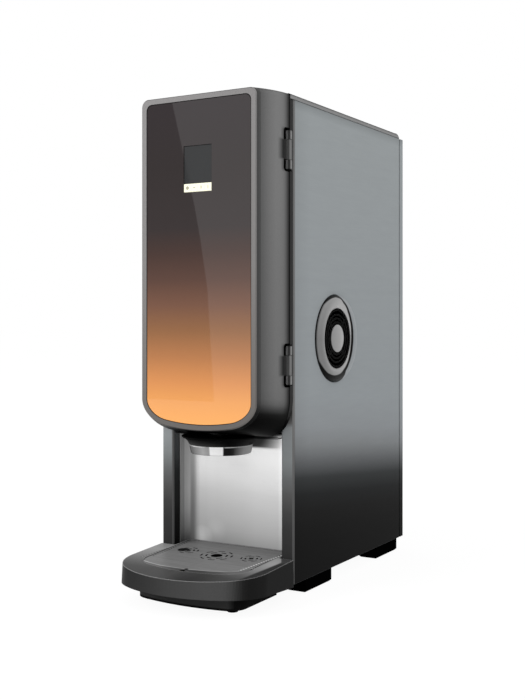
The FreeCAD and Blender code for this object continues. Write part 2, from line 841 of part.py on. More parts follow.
def tray_carrier():
    top = tray_floor - 1.9
    wall = 2.5
    outer = prism(carrier_wire(carrier_bottom, 0), V(0, 0, top - carrier_bottom))
    inner = prism(carrier_wire(carrier_bottom - 1, wall), V(0, 0, top - carrier_bottom - 1.5))
    x = post_in - 16.0
    tongue = block((-x, x), (-3, niche_depth - 2), (floor_top, floor_top + 2.5))
    riser = block((-x, x), (niche_depth - 6, niche_depth - 2), (floor_top, top))
    rib = ((4 - carrier_reach, -2), (carrier_bottom + 2, top - 1))
    ribs = [block((x - 1, x + 1), *rib) for x in (-36, 0, 36)]
    ribs += [rod(V(x, y, carrier_bottom), V(x, y, top - 1), pad_r) for x, y in pad_places]
    return fuse([outer.cut(inner), tongue, riser] + ribs)


pad_places = [(x, y) for x in (37 - half, half - 37) for y in (-74, -20)]


def carrier_pads():
    return [Part.makeCone(pad_r - 1, pad_r, carrier_bottom, V(x, y, 0)) for x, y in pad_places]


# Spout
outlet_y = 14.0
outlet_r = 8.0


def spout_housing():
    top = shelf_z
    ring_top = spout_ring_z + spout_ring_h
    low_r = spout_top_r
    sweep = ((low_r + 3.0, ring_top + 5.0), (spout_flare_r, top - 1.0))
    inside = low_r - spout_wall
    steps = [sweep, (spout_flare_r, top), (inside, top), (inside, ring_top)]
    flare = turned((low_r, ring_top), steps, lambda a, b: V(a, spout_y, b), V(0, spout_y, 0), V(0, 0, 1))
    x = post_in - 4.0
    back = niche_depth - 1.5
    front = [(spout_flare_r - 6, spout_y), (6 - spout_flare_r, spout_y), (-x, spout_y + 8)]
    rear = rear_corners(x, back, niche_bend - 2)
    plate = prism(outline((x, spout_y + 8), front + rear, plane_xy(top - housing_t)), V(0, 0, housing_t))
    disc = rod(V(0, spout_y, top - housing_t), V(0, spout_y, top), spout_flare_r - 1)
    hole = block((-outlet_r - 4, outlet_r + 4), (spout_y - 14, outlet_y + outlet_r + 4), (top - 10, top + 5))
    behind = block((-spout_flare_r, spout_flare_r), (back, back + 20), (ring_top, top + 1))
    return fuse([flare, plate, disc]).cut([hole, behind])


def spout_ring():
    z0, z1 = spout_ring_z, spout_ring_z + spout_ring_h
    return turned((spout_top_r, z1), [(spout_low_r, z0 + 0.8), (spout_low_r - 0.8, z0),
                  (spout_low_r - spout_wall, z0), (spout_top_r - spout_wall, z1)],
                  lambda a, b: V(a, spout_y, b), V(0, spout_y, 0), V(0, 0, 1))


def spout_nozzle():
    z = shelf_z + sheet
    low = spout_ring_z + 1
    end_y = spout_y + 2
    path = [V(0, outlet_y, z + 18), V(0, outlet_y, z - 3.5), V(0, end_y, low + 8), V(0, end_y, low)]
    pipe = hose(path, 10.0, outlet_r, outlet_r - 2)
    flange = tube(V(0, outlet_y, z), V(0, outlet_y, z + 2), outlet_r + 5, outlet_r - 1)
    return fuse([pipe, flange])


# Side vent and fan
def vent_place(a, b):
    return V(half + b, vent_y, vent_z + a)


def vent_bezel():
    crest = (vent_r + vent_lip_r) / 2 + 2
    hole = vent_r - 5.3
    face = ((crest + 2, vent_rise), (vent_lip_r, vent_lip))
    steps = [face, (vent_lip_r, 0.4), (hole - 3, 0.4), (hole - 3, -sheet), (hole, -sheet), (hole, 0)]
    return turned((vent_r, 0), steps, vent_place, V(0, vent_y, vent_z), V(1, 0, 0))


def vent_grille():
    x0, x1 = half + 0.8, half + 2.6
    at = lambda x: V(x, vent_y, vent_z)
    rim = tube(at(half - sheet), at(half + 0.4), vent_lip_r + 5.0, vent_lip_r - 3.2)
    collar = tube(at(half), at(x1), vent_lip_r - 0.3, vent_lip_r - 3.2)
    rings = [tube(at(x0), at(x1), r + 0.9, r - 0.9) for r in (20.0, 24.7, 29.4)]
    spokes = []
    for k in range(4):
        bar = block((x0, x1), (-1.2, 1.2), (vent_cap_r - 2, vent_lip_r - 1))
        bar.rotate(V(0, 0, 0), V(1, 0, 0), 45 + 90 * k)
        bar.translate(V(0, vent_y, vent_z))
        spokes.append(bar)
    hub = rod(at(x0), at(x1), vent_cap_r - 1)
    return fuse([rim, collar, hub] + rings + spokes)


def vent_cap():
    low, edge, crown = half + 2.6, 0.8, 1.4
    dome_r = (vent_cap_r ** 2 + crown ** 2) / (2 * crown)
    axis = lambda x: V(x, vent_y, vent_z)
    disc = rod(axis(low), axis(low + edge + crown), vent_cap_r)
    return disc.common(Part.makeSphere(dome_r, axis(low + edge + crown - dome_r)))


def fan_housing():
    x1 = half - sheet
    x0 = x1 - fan_t
    s = fan_size / 2
    frame = block((x0, x1), (vent_y - s, vent_y + s), (vent_z - s, vent_z + s))
    frame = frame.makeFillet(5.0, [e for e in frame.Edges if abs(e.tangentAt(e.FirstParameter).x) > 0.9])
    at = lambda x: V(x, vent_y, vent_z)
    body = frame.cut(rod(at(x0 - 1), at(x1 + 1), fan_r))
    hub = rod(at(x0), at(x0 + 4), fan_hub_r)
    arms = []
    for k in range(3):
        arm = block((x0, x0 + 4), (-2, 2), (fan_hub_r - 2, fan_r + 1))
        arm.rotate(V(0, 0, 0), V(1, 0, 0), 30 + 120 * k)
        arm.translate(V(0, vent_y, vent_z))
        arms.append(arm)
    bore = rod(at(x0 - 1), at(x0 + 5), 2.0 + run_gap)
    return fuse([body, hub] + arms).cut(bore)


def fan_rotor():
    x0 = half - sheet - fan_t
    at = lambda x: V(x, vent_y, vent_z)
    cup = rod(at(x0 + 4.5), at(x0 + fan_t - 4), fan_hub_r - 0.5)
    shaft = rod(at(x0 + 0.5), at(x0 + 6), 2.0)
    blades = []
    for k in range(fan_blades):
        blade = block((-7.5, 7.5), (-0.8, 0.8), (fan_hub_r - 2, fan_r - 1.2))
        blade.rotate(V(0, 0, 0), V(0, 0, 1), 38)
        blade.translate(V(x0 + 13, 0, 0))
        blade.rotate(V(0, 0, 0), V(1, 0, 0), 360 / fan_blades * k)
        blade.translate(V(0, vent_y, vent_z))
        blades.append(blade)
    return fuse([cup, shaft] + blades)


# Canister
def can_section(y, inset, top):
    x = can_w / 2 - inset
    r = trough_r + can_wall - inset
    return outline((x, top), [(-x, top), (-x, can_waist + inset * 0.3), (-r, auger_z),
                   ((0, auger_z - r), (r, auger_z)), (x, can_waist + inset * 0.3)], plane_xz(y))


def canister():
    body = prism(can_section(can_front, 0, can_top), V(0, can_rear - can_front, 0))
    inside = prism(can_section(can_front + can_wall, can_wall, can_top + 5),
                   V(0, can_rear - can_front - 2 * can_wall, 0))
    spout = rod(V(0, can_front - 8, auger_z), V(0, can_front + 1, auger_z), trough_r + can_wall)
    bore = rod(V(0, can_front - 9, auger_z), V(0, can_front + 5, auger_z), trough_r)
    bush = rod(V(0, can_rear - 5, auger_z), V(0, can_rear + 5, auger_z), auger_shaft_r + run_gap)
    wall_x = can_w / 2 - can_wall
    at = lambda x: V(x, wheel_y, wheel_z)
    bosses = [rod(at(s * wall_x), at(s * (can_w / 2 - 10)), 6.0) for s in (-1, 1)]
    axle = rod(at(-wall_x), at(wall_x), 3.0 + run_gap)
    runners = []
    for s in (-1, 1):
        a, b = sorted((s * (can_w / 2 - 1), s * (can_w / 2 + 9)))
        runners.append(block((a, b), (can_front + 6, can_rear - 6), (rail_z + gap, rail_z + gap + 3)))
    body = body.fuse([spout] + runners).cut([inside, bore, bush])
    return fuse([body] + bosses).cut(axle)


wheel_y = (can_front + can_rear) / 2
wheel_pitch_r = wheel_teeth * auger_pitch / (2 * math.pi)
wheel_tip_r = wheel_pitch_r + 3.0
wheel_z = auger_z + auger_r - 6.0 + wheel_tip_r


def canister_lid():
    x = can_w / 2
    plate = block((-x - 1, x + 1), (can_front - 1, can_rear + 1), (can_top + gap, can_top + gap + 2))
    a, b = can_wall + gap, can_wall + 2.4
    skirt = block((a - x, x - a), (can_front + a, can_rear - a), (can_top - 6, can_top + 1))
    hollow = block((b - x, x - b), (can_front + b, can_rear - b), (can_top - 7, can_top + gap))
    grip = block((-22, 22), (wheel_y - 3, wheel_y + 3), (can_top + gap + 1, can_top + 9))
    grip = grip.makeFillet(2.5, [e for e in grip.Edges if e.BoundBox.ZMin > can_top + 8])
    return fuse([plate, skirt.cut(hollow), grip])


def auger():
    y0 = can_front - 12
    y1 = can_rear - can_wall - 3
    shaft = rod(V(0, y0, auger_z), V(0, can_rear + 2, auger_z), auger_shaft_r)
    turns = (y1 - y0) / auger_pitch
    helix = Part.makeHelix(auger_pitch, y1 - y0, auger_r - 4)
    a, b = auger_shaft_r - 0.6, auger_r
    section = outline((a, -1.0), [(b, -0.8), (b, 0.8), (a, 1.0)], plane_xz(0))
    flight = Part.Wire(helix).makePipeShell([section], True, True)
    flight.rotate(V(0, 0, 0), V(0, 0, 1), auger_phase(turns))
    flight.rotate(V(0, 0, 0), V(1, 0, 0), -90)
    flight.translate(V(0, y0, auger_z))
    tang = block((-7, 7), (can_rear + 1.5, can_rear + 8), (auger_z - 2, auger_z + 2))
    return fuse([shaft, flight, tang])


# The flight starts so that the agitator's lowest tooth stands midway between two turns
def auger_phase(turns):
    to_wheel = wheel_y - (can_front - 12)
    return 90.0 - 360.0 * to_wheel / auger_pitch


def elbow():
    y1 = can_front - 1
    y0 = y1 - 20
    r = trough_r + can_wall + run_gap
    at = lambda y, z: V(0, y, z)
    sleeve = rod(at(y0 - 2, auger_z), at(y1, auger_z), r + 2)
    mouth_y = y0 + 7.0
    mouth = rod(at(mouth_y, auger_z), at(mouth_y, funnel_top + 4), 8.5)
    hollow = rod(at(y0, auger_z), at(y1 + 1, auger_z), r)
    throat = rod(at(mouth_y, auger_z), at(mouth_y, funnel_top + 3), 6.5)
    return fuse([sleeve, mouth]).cut([hollow, throat])


def agitator():
    at = lambda x: V(x, wheel_y, wheel_z)
    rim = tube(at(-2), at(2), wheel_tip_r - 7, wheel_tip_r - 11)
    hub = rod(at(-6), at(6), 7.0)
    axle = rod(at(-can_w / 2 + can_wall + 0.4), at(can_w / 2 - can_wall - 0.4), 3.0)
    bars = []
    for k in range(wheel_teeth):
        tooth = block((-2, 2), (-1.5, 1.5), (-wheel_tip_r, -wheel_tip_r + 8))
        tooth.rotate(V(0, 0, 0), V(1, 0, 0), 360 / wheel_teeth * k)
        bars.append(tooth)
    for k in range(4):
        spoke = block((-2, 2), (-2, 2), (5, wheel_tip_r - 8))
        spoke.rotate(V(0, 0, 0), V(1, 0, 0), 90 * k + 15)
        bars.append(spoke)
    for b in bars:
        b.translate(V(0, wheel_y, wheel_z))
    return fuse([rim, hub, axle] + bars)


def canister_drive():
    y0 = can_rear + 2.6
    cup = rod(V(0, y0, auger_z), V(0, y0 + 11, auger_z), 12.0)
    slot = block((-7.5, 7.5), (y0 - 1, y0 + 6.2), (auger_z - 2.5, auger_z + 2.5))
    shaft = rod(V(0, y0 + 10, auger_z), V(0, partition_y + 14, auger_z), 3.0)
    return fuse([cup, shaft]).cut(slot)


def canister_motor():
    y0 = partition_y + sheet
    x1 = gearbox_w / 2
    y1 = y0 + 6 + gearbox_t
    gearbox = block((-x1, x1), (y0 + 6, y1), (auger_z - x1 - 6, auger_z + x1))
    can = rod(V(0, y1, auger_z), V(0, y1 + feeder_motor_len, auger_z), motor_r)
    posts = []
    for x in (5 - x1, x1 - 5):
        for z in (auger_z - x1 - 1, auger_z + x1 - 5):
            posts.append(rod(V(x, y0, z), V(x, y0 + 6.5, z), 3.5))
    bore = rod(V(0, y0 - 1, auger_z), V(0, y0 + 20, auger_z), 3.0 + run_gap)
    return fuse([gearbox, can] + posts).cut(bore)


# Mixer
chamber_end = 60.0
plate_y = 72.0
water_z = 310.0


def mixing_bowl():
    w = mixer_wall
    place = lambda a, b: V(a, funnel_y, b)
    centre = V(0, funnel_y, 0)
    neck = 13.0
    low_z, high_z = mixer_z + chamber_r + 4, funnel_top - 14
    steps = [(neck, mixer_z), (neck, low_z), (funnel_r, high_z), (funnel_r, funnel_top), (0, funnel_top)]
    funnel = turned((0, mixer_z), steps, place, centre, V(0, 0, 1))
    steps = [(neck - w, mixer_z), (neck - w, low_z), (funnel_r - w, high_z), (funnel_r - w, funnel_top + 1),
             (0, funnel_top + 1)]
    inner = turned((0, mixer_z), steps, place, centre, V(0, 0, 1))
    y0 = funnel_y - 15.0
    chamber = rod(V(0, y0, mixer_z), V(0, chamber_end, mixer_z), chamber_r)
    hollow = rod(V(0, y0 + w, mixer_z), V(0, chamber_end + 1, mixer_z), chamber_r - w)
    low = shelf_z + sheet + 8
    stub = rod(V(0, outlet_y, mixer_z), V(0, outlet_y, low), outlet_r - 2 - run_gap)
    drain = rod(V(0, outlet_y, mixer_z), V(0, outlet_y, low - 1), outlet_r - 3.5)
    inlet = rod(V(0, funnel_y + funnel_r - 4, water_z), V(0, funnel_y + funnel_r + 14, water_z), 5.0)
    inlet_bore = rod(V(0, funnel_y, water_z), V(0, funnel_y + funnel_r + 15, water_z), 3.5)
    return fuse([funnel, chamber, stub, inlet]).cut([inner, hollow, drain, inlet_bore])


def mixer_flange():
    disc = rod(V(0, chamber_end, mixer_z), V(0, plate_y, mixer_z), chamber_r + 5)
    spigot = rod(V(0, chamber_end - 4, mixer_z), V(0, chamber_end + 1, mixer_z), chamber_r - mixer_wall - 0.1)
    relief = rod(V(0, chamber_end - 5, mixer_z), V(0, chamber_end - 1, mixer_z), chamber_r - mixer_wall - 2)
    bore = rod(V(0, chamber_end - 5, mixer_z), V(0, plate_y + 1, mixer_z), 2.5 + run_gap)
    return fuse([disc, spigot]).cut([relief, bore])


def mixer_bracket():
    x = 40.0
    plate = block((-x, x), (plate_y, plate_y + 2), (shelf_z + sheet, mixer_z + 38))
    foot = block((-x, x), (plate_y, plate_y + 34), (shelf_z + sheet, shelf_z + sheet + 2))
    gusset = ((plate_y, plate_y + 30), (shelf_z + sheet, shelf_z + 24))
    gussets = [block((s * x - 1, s * x + 1), *gusset) for s in (-1, 1)]
    bore = rod(V(0, plate_y - 1, mixer_z), V(0, plate_y + 3, mixer_z), 8.0)
    return fuse([plate, foot] + gussets).cut(bore)


def mixer_motor():
    y0 = plate_y + 2
    y1 = y0 + whipper_motor_len
    body = rod(V(0, y0, mixer_z), V(0, y1, mixer_z), motor_r)
    cap = rod(V(0, y1, mixer_z), V(0, y1 + 4, mixer_z), 10.0)
    bore = rod(V(0, y0 - 1, mixer_z), V(0, y0 + 20, mixer_z), 2.5 + run_gap)
    return fuse([body, cap]).cut(bore)


def impeller():
    y1 = chamber_end - 5.5
    disc = rod(V(0, y1 - 2, mixer_z), V(0, y1, mixer_z), impeller_r)
    hub = rod(V(0, y1 - 13, mixer_z), V(0, y1 + 0.5, mixer_z), 5.0)
    vanes = []
    for k in range(6):
        vane = block((3, impeller_r - 1), (y1 - 10, y1 - 1), (-0.8, 0.8))
        vane.rotate(V(0, 0, 0), V(0, 1, 0), 60 * k)
        vane.translate(V(0, 0, mixer_z))
        vanes.append(vane)
    shaft = rod(V(0, y1, mixer_z), V(0, plate_y + 18, mixer_z), 2.5)
    return fuse([disc, hub, shaft] + vanes)


# Boiler and water
def boiler_tank():
    at = lambda z: V(boiler_x, boiler_y, z)
    body = rod(at(boiler_low), at(boiler_low + boiler_h), boiler_r)
    rim = rod(at(boiler_low + boiler_h - 4), at(boiler_low + boiler_h), boiler_r + 6)
    hollow = rod(at(boiler_low + 2), at(boiler_low + boiler_h + 1), boiler_r - 2)
    return fuse([body, rim]).cut(hollow)


def boiler_stand():
    at = lambda z: V(boiler_x, boiler_y, z)
    skirt = tube(at(floor_top), at(boiler_low), boiler_r - 4, boiler_r - 6)
    foot = tube(at(floor_top), at(floor_top + 2), boiler_r + 8, boiler_r - 6)
    seat = tube(at(boiler_low - 2), at(boiler_low), boiler_r - 1, boiler_r - 14)
    windows = [block((-60, 60), (-12, 12), (floor_top + 10, boiler_low - 10))]
    windows[0].translate(V(boiler_x, boiler_y, 0))
    return fuse([skirt, foot, seat]).cut(windows)


def boiler_lid():
    at = lambda z: V(boiler_x, boiler_y, z)
    top = boiler_low + boiler_h
    plate = rod(at(top), at(top + 3), boiler_r + 6)
    plug = rod(at(top - 3), at(top + 1), boiler_r - 2.2)
    boss = rod(at(top + 2), at(top + 12), 14.0)
    holes = [rod(V(boiler_x + dx, boiler_y, top - 5), V(boiler_x + dx, boiler_y, top + 20), r)
             for dx, r in ((24, 5.0), (9, element_r), (-9, element_r))]
    return fuse([plate, plug, boss]).cut(holes)


element_r = 4.0


def heating_element():
    top = boiler_low + boiler_h
    pieces = []
    for s in (-1, 1):
        leg = [V(boiler_x + s * 9, boiler_y, top + 22), V(boiler_x + s * 9, boiler_y, top - 30),
               V(boiler_x + s * 26, boiler_y, top - 60), V(boiler_x + s * 26, boiler_y, boiler_low + 30)]
        pieces.append(Part.Wire(bent_path(leg, 8.0)).makePipeShell(
            [Part.Wire(Part.makeCircle(element_r, leg[0], V(0, 0, -1)))], True, False))
    z = boiler_low + 30
    a, b = boiler_x - 26, boiler_x + 26
    loop = [V(a, boiler_y, z), V(a, boiler_y, z - 18), V(b, boiler_y, z - 18), V(b, boiler_y, z)]
    pieces.append(Part.Wire(bent_path(loop, 8.0)).makePipeShell(
        [Part.Wire(Part.makeCircle(element_r, loop[0], V(0, 0, -1)))], True, False))
    return fuse(pieces)


valve_x = boiler_x + 24
valve_z = boiler_low + boiler_h + 3


def outlet_valve():
    base = rod(V(valve_x, boiler_y, valve_z - 6), V(valve_x, boiler_y, valve_z + 12), 4.8)
    body = block((valve_x - 11, valve_x + 11), (boiler_y - 16, boiler_y + 12), (valve_z + 9, valve_z + 31))
    coil = rod(V(valve_x, boiler_y - 2, valve_z + 31), V(valve_x, boiler_y - 2, valve_z + 60), 14.0)
    port = rod(V(valve_x, boiler_y - 26, valve_z + 20), V(valve_x, boiler_y - 15, valve_z + 20), 5.0)
    return fuse([base, body, coil, port])


def water_hoses():
    z = valve_z + 20
    start = V(valve_x, boiler_y - 26, z)
    end = V(0, funnel_y + funnel_r + 14, water_z)
    hot = [start, start - V(0, 15, 0), V(0, partition_y + 13, water_z), end]
    edge = boiler_x + boiler_r
    low = boiler_low + 18
    cold = [V(inlet_x, cab_d - 58, inlet_z), V(inlet_x, boiler_y - 20, inlet_z), V(edge + 8, boiler_y, low),
            V(edge, boiler_y, low)]
    return Part.makeCompound([hose(hot, 10.0, 5.5, 3.5), hose(cold, 9.0, 5.5, 3.5)])


def inlet_valve():
    at = lambda y: V(inlet_x, y, inlet_z)
    thread = rod(at(cab_d - 1), at(cab_d + inlet_reach), inlet_r)
    collar = rod(at(cab_d - 4), at(cab_d), inlet_r + inlet_collar)
    flange = rod(at(cab_d - sheet - 4), at(cab_d - sheet), inlet_r + 4)
    body = block((inlet_x - 15, inlet_x + 15), (cab_d - 44, cab_d - sheet - 3), (inlet_z - 14, inlet_z + 14))
    coil = rod(V(inlet_x, cab_d - 26, inlet_z + 13), V(inlet_x, cab_d - 26, inlet_z + 46), 14.0)
    port = rod(at(cab_d - 58), at(cab_d - 43), 5.0)
    bore = rod(at(cab_d - 6), at(cab_d + inlet_reach + 1), inlet_r - 4.5)
    return fuse([thread, collar, flange, body, coil, port]).cut(bore)


# Electrical parts
def mains_inlet():
    y = cab_d
    flange = block((socket_x - 17, socket_x + 17), (y, y + 2.5), (socket_z - 13, socket_z + 13))
    flange = flange.makeFillet(3.0, [e for e in flange.Edges if abs(e.tangentAt(e.FirstParameter).y) > 0.9])
    body = block((socket_x - 13.5, socket_x + 13.5), (y - 22, y + 1), (socket_z - 9.8, socket_z + 9.8))
    cavity = block((socket_x - 12, socket_x + 12), (y - 15, y + 3), (socket_z - 8, socket_z + 8))
    pins = []
    for dx, dz in ((-7, -2), (7, -2), (0, 2)):
        x, z = socket_x + dx, socket_z + dz
        pins.append(block((x - 1, x + 1), (y - 16, y - 3), (z - 2, z + 2)))
    return fuse([fuse([flange, body]).cut(cavity)] + pins)


def switch_housing():
    y = cab_d
    flange = block((socket_x - 13, socket_x + 13), (y, y + 2), (switch_z - 8.5, switch_z + 8.5))
    body = block((socket_x - 10.7, socket_x + 10.7), (y - 18, y + 1), (switch_z - 6.2, switch_z + 6.2))
    well = block((socket_x - 9.3, socket_x + 9.3), (y - 10, y + 3), (switch_z - 5.0, switch_z + 5.0))
    return fuse([flange, body]).cut([well, rocker_pin(0.2, rocker_pin_r + run_gap)])


def power_entry():
    return Part.makeCompound([mains_inlet(), switch_housing()])


rocker_y = cab_d - 1.0
rocker_pin_r = 1.5
rocker_r = 9.0
rocker_tilt = 9.0


def rocker_pin(longer, r):
    reach = 5.6 + longer
    return rod(V(socket_x, rocker_y, switch_z - reach), V(socket_x, rocker_y, switch_z + reach), r)


# Its ends lie on a circle round the pin, and it rests tilted, with its right side out
def switch_rocker():
    x, y = rocker_r * math.cos(math.radians(17)), rocker_r * math.sin(math.radians(17))
    steps = [((0, y - 1.2), (x, y)), (x - 0.2, -0.8), (1.5, -4.0), (-1.5, -4.0), (0.2 - x, -0.8)]
    section = outline((-x, y), steps, lambda a, b: V(socket_x + a, rocker_y + b, switch_z - 4.4))
    rocker = prism(section, V(0, 0, 8.8))
    rocker.rotate(V(socket_x, rocker_y, switch_z), V(0, 0, 1), rocker_tilt)
    return fuse([rocker, rocker_pin(0, rocker_pin_r)])


def main_board():
    x = -half + sheet + board_off
    face = x + board_t
    y0 = partition_y + 20.0
    y1 = y0 + main_board_w
    high = side_top - main_board_drop
    low = high - main_board_h
    board = block((x, face), (y0, y1), (low, high))
    posts = []
    for y in (y0 + 6, y1 - 6):
        for z in (low + 6, high - 6):
            posts.append(rod(V(-half + sheet, y, z), V(x, y, z), 3.0))
    chips = [block((face, face + 24.4), (y0 + 12, y0 + 52), (low + 10, low + 52)),
             block((face, face + 12.4), (y0 + 60, y0 + 88), (low + 20, high - 20)),
             block((face, face + 16.4), (y0 + 10, y0 + 34), (low + 80, low + 110)),
             block((face, face + 16.4), (y0 + 10, y0 + 34), (low + 130, low + 160))]
    return fuse([board] + posts + chips)


def power_supply():
    x, high = supply_w / 2, floor_top + supply_h
    case = block((-x, x), (supply_y, supply_y + supply_d), (floor_top, high))
    slots = []
    for k in range(6):
        y = supply_y + 10 + 12 * k
        slots.append(block((10 - x, x - 10), (y, y + 4), (high - 4, high + 8)))
    return case.cut(slots)


def cabinet_screws():
    heads = []
    rear = (foot_h + 42.0, side_top - main_board_drop)
    for z in (rear[0], (rear[0] + rear[1]) / 2, rear[1]):
        for s in (-1, 1):
            heads.append(screw(V(s * (half - 6), cab_d + 0.2, z), V(0, 1, 0)))
    front = (door_bottom_rear + 23.0, door_top - 23.5)
    for z in (front[0], (front[0] + front[1]) / 2, front[1]):
        for s in (-1, 1):
            heads.append(screw(V(s * (half - 12), -frame_t, z), V(0, -1, 0), 2.4, 10.0))
    return Part.makeCompound(heads)


parts = {
    "side_panel_right": side_panel_right,
    "side_panel_left": side_panel_left,
    "base_plate": base_plate,
    "feet": feet,
    "rear_cover": rear_cover,
    "shelf": shelf,
    "partition": partition,
    "niche_panel": niche_panel,
    "top_lid": top_lid,
    "lid_hinge_fixed": lid_hinge_fixed,
    "lid_hinge_moving": lid_hinge_moving,
    "front_frame": front_frame,
    "door_gasket": door_gasket,
    "magnet_catches": magnet_catches,
    "catch_strikers": catch_strikers,
    "door_shell": door_shell,
    "door_ring": door_ring,
    "glass_panel": glass_panel,
    "display_lens": display_lens,
    "touch_keys": touch_keys,
    "display_module": display_module,
    "door_board": door_board,
    "door_liner": door_liner,
    "door_hinge_fixed": door_hinge_fixed,
    "door_hinge_moving": door_hinge_moving,
    "drip_tray": drip_tray,
    "drip_grid": drip_grid,
    "tray_carrier": tray_carrier,
    "spout_housing": spout_housing,
    "spout_ring": spout_ring,
    "spout_nozzle": spout_nozzle,
    "vent_bezel": vent_bezel,
    "vent_grille": vent_grille,
    "vent_cap": vent_cap,
    "fan_housing": fan_housing,
    "fan_rotor": fan_rotor,
    "canister": canister,
    "canister_lid": canister_lid,
    "auger": auger,
    "canister_elbow": elbow,
    "agitator": agitator,
    "canister_drive": canister_drive,
    "canister_motor": canister_motor,
    "mixing_bowl": mixing_bowl,
    "mixer_flange": mixer_flange,
    "mixer_bracket": mixer_bracket,
    "mixer_motor": mixer_motor,
    "impeller": impeller,
    "boiler_tank": boiler_tank,
    "boiler_stand": boiler_stand,
    "boiler_lid": boiler_lid,
    "heating_element": heating_element,
    "outlet_valve": outlet_valve,
    "water_hoses": water_hoses,
    "inlet_valve": inlet_valve,
    "mains_inlet": power_entry,
    "switch_rocker": switch_rocker,
    "main_board": main_board,
    "power_supply": power_supply,
    "cabinet_screws": cabinet_screws,
}

os.makedirs("parts", exist_ok=True)
for name, make in parts.items():
    shape = make()
    shape.translate(V(0, -mid_y, 0))
    shape.exportStep("parts/" + name + ".step")
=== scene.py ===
import bpy
import json
import math
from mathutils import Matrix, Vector


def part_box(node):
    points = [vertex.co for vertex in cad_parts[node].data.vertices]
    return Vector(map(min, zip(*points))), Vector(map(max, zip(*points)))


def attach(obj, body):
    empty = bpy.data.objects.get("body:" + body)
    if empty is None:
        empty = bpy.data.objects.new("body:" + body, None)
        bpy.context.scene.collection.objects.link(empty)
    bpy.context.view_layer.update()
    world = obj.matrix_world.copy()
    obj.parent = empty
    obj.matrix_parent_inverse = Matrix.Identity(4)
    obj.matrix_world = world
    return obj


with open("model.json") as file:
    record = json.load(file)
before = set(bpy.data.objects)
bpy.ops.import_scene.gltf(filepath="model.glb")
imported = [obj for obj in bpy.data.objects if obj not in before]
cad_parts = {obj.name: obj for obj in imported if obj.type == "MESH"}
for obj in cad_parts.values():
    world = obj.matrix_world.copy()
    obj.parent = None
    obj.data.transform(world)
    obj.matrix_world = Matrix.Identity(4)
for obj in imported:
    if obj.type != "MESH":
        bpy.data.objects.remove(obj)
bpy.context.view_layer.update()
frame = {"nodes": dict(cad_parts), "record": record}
nodes = frame["nodes"]

MM = 0.001

# Places read from the frame
panel_low, panel_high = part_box("side_panel_right")
door_low, door_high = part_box("door_shell")
ring_low, ring_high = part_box("spout_ring")
keys_low, keys_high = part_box("touch_keys")
vent_low, vent_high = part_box("vent_bezel")
lid_low, lid_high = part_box("top_lid")
hinge_low, hinge_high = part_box("door_hinge_moving")
tray_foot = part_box("drip_tray")[0].z
cabinet_front = panel_low.y
cabinet_side = panel_high.x
spout_centre = (ring_low + ring_high) / 2
vent_centre = (vent_low + vent_high) / 2
vent_radius = (vent_high.z - vent_low.z) / 2

# Sizes of the part that the finishes follow
post_width = 17 * MM
pin_inset = 0.5 * MM
pin_ahead = 11 * MM
barrel_radius = 4.1 * MM
half_barrel = 11.4 * MM
hinge_pin = Vector((cabinet_side - pin_inset, cabinet_front - pin_ahead, 0))
hinge_middles = (hinge_low.z + half_barrel, hinge_high.z - half_barrel)


# Colours are given as they look on screen, 0 to 255
def tone(r, g=None, b=None):
    values = (r, r, r) if g is None else (r, g, b)
    linear = []
    for v in values:
        v /= 255
        linear.append(v / 12.92 if v <= 0.04045 else ((v + 0.055) / 1.055) ** 2.4)
    return (*linear, 1.0)


def rgb(colour):
    return tuple(colour[:3])


# A point in millimetres outside the cabinet's right side, behind its front and above the floor
def spot_at(aside=0.0, depth=0.0, height=0.0):
    return Vector((cabinet_side + aside * MM, cabinet_front + depth * MM, height * MM))


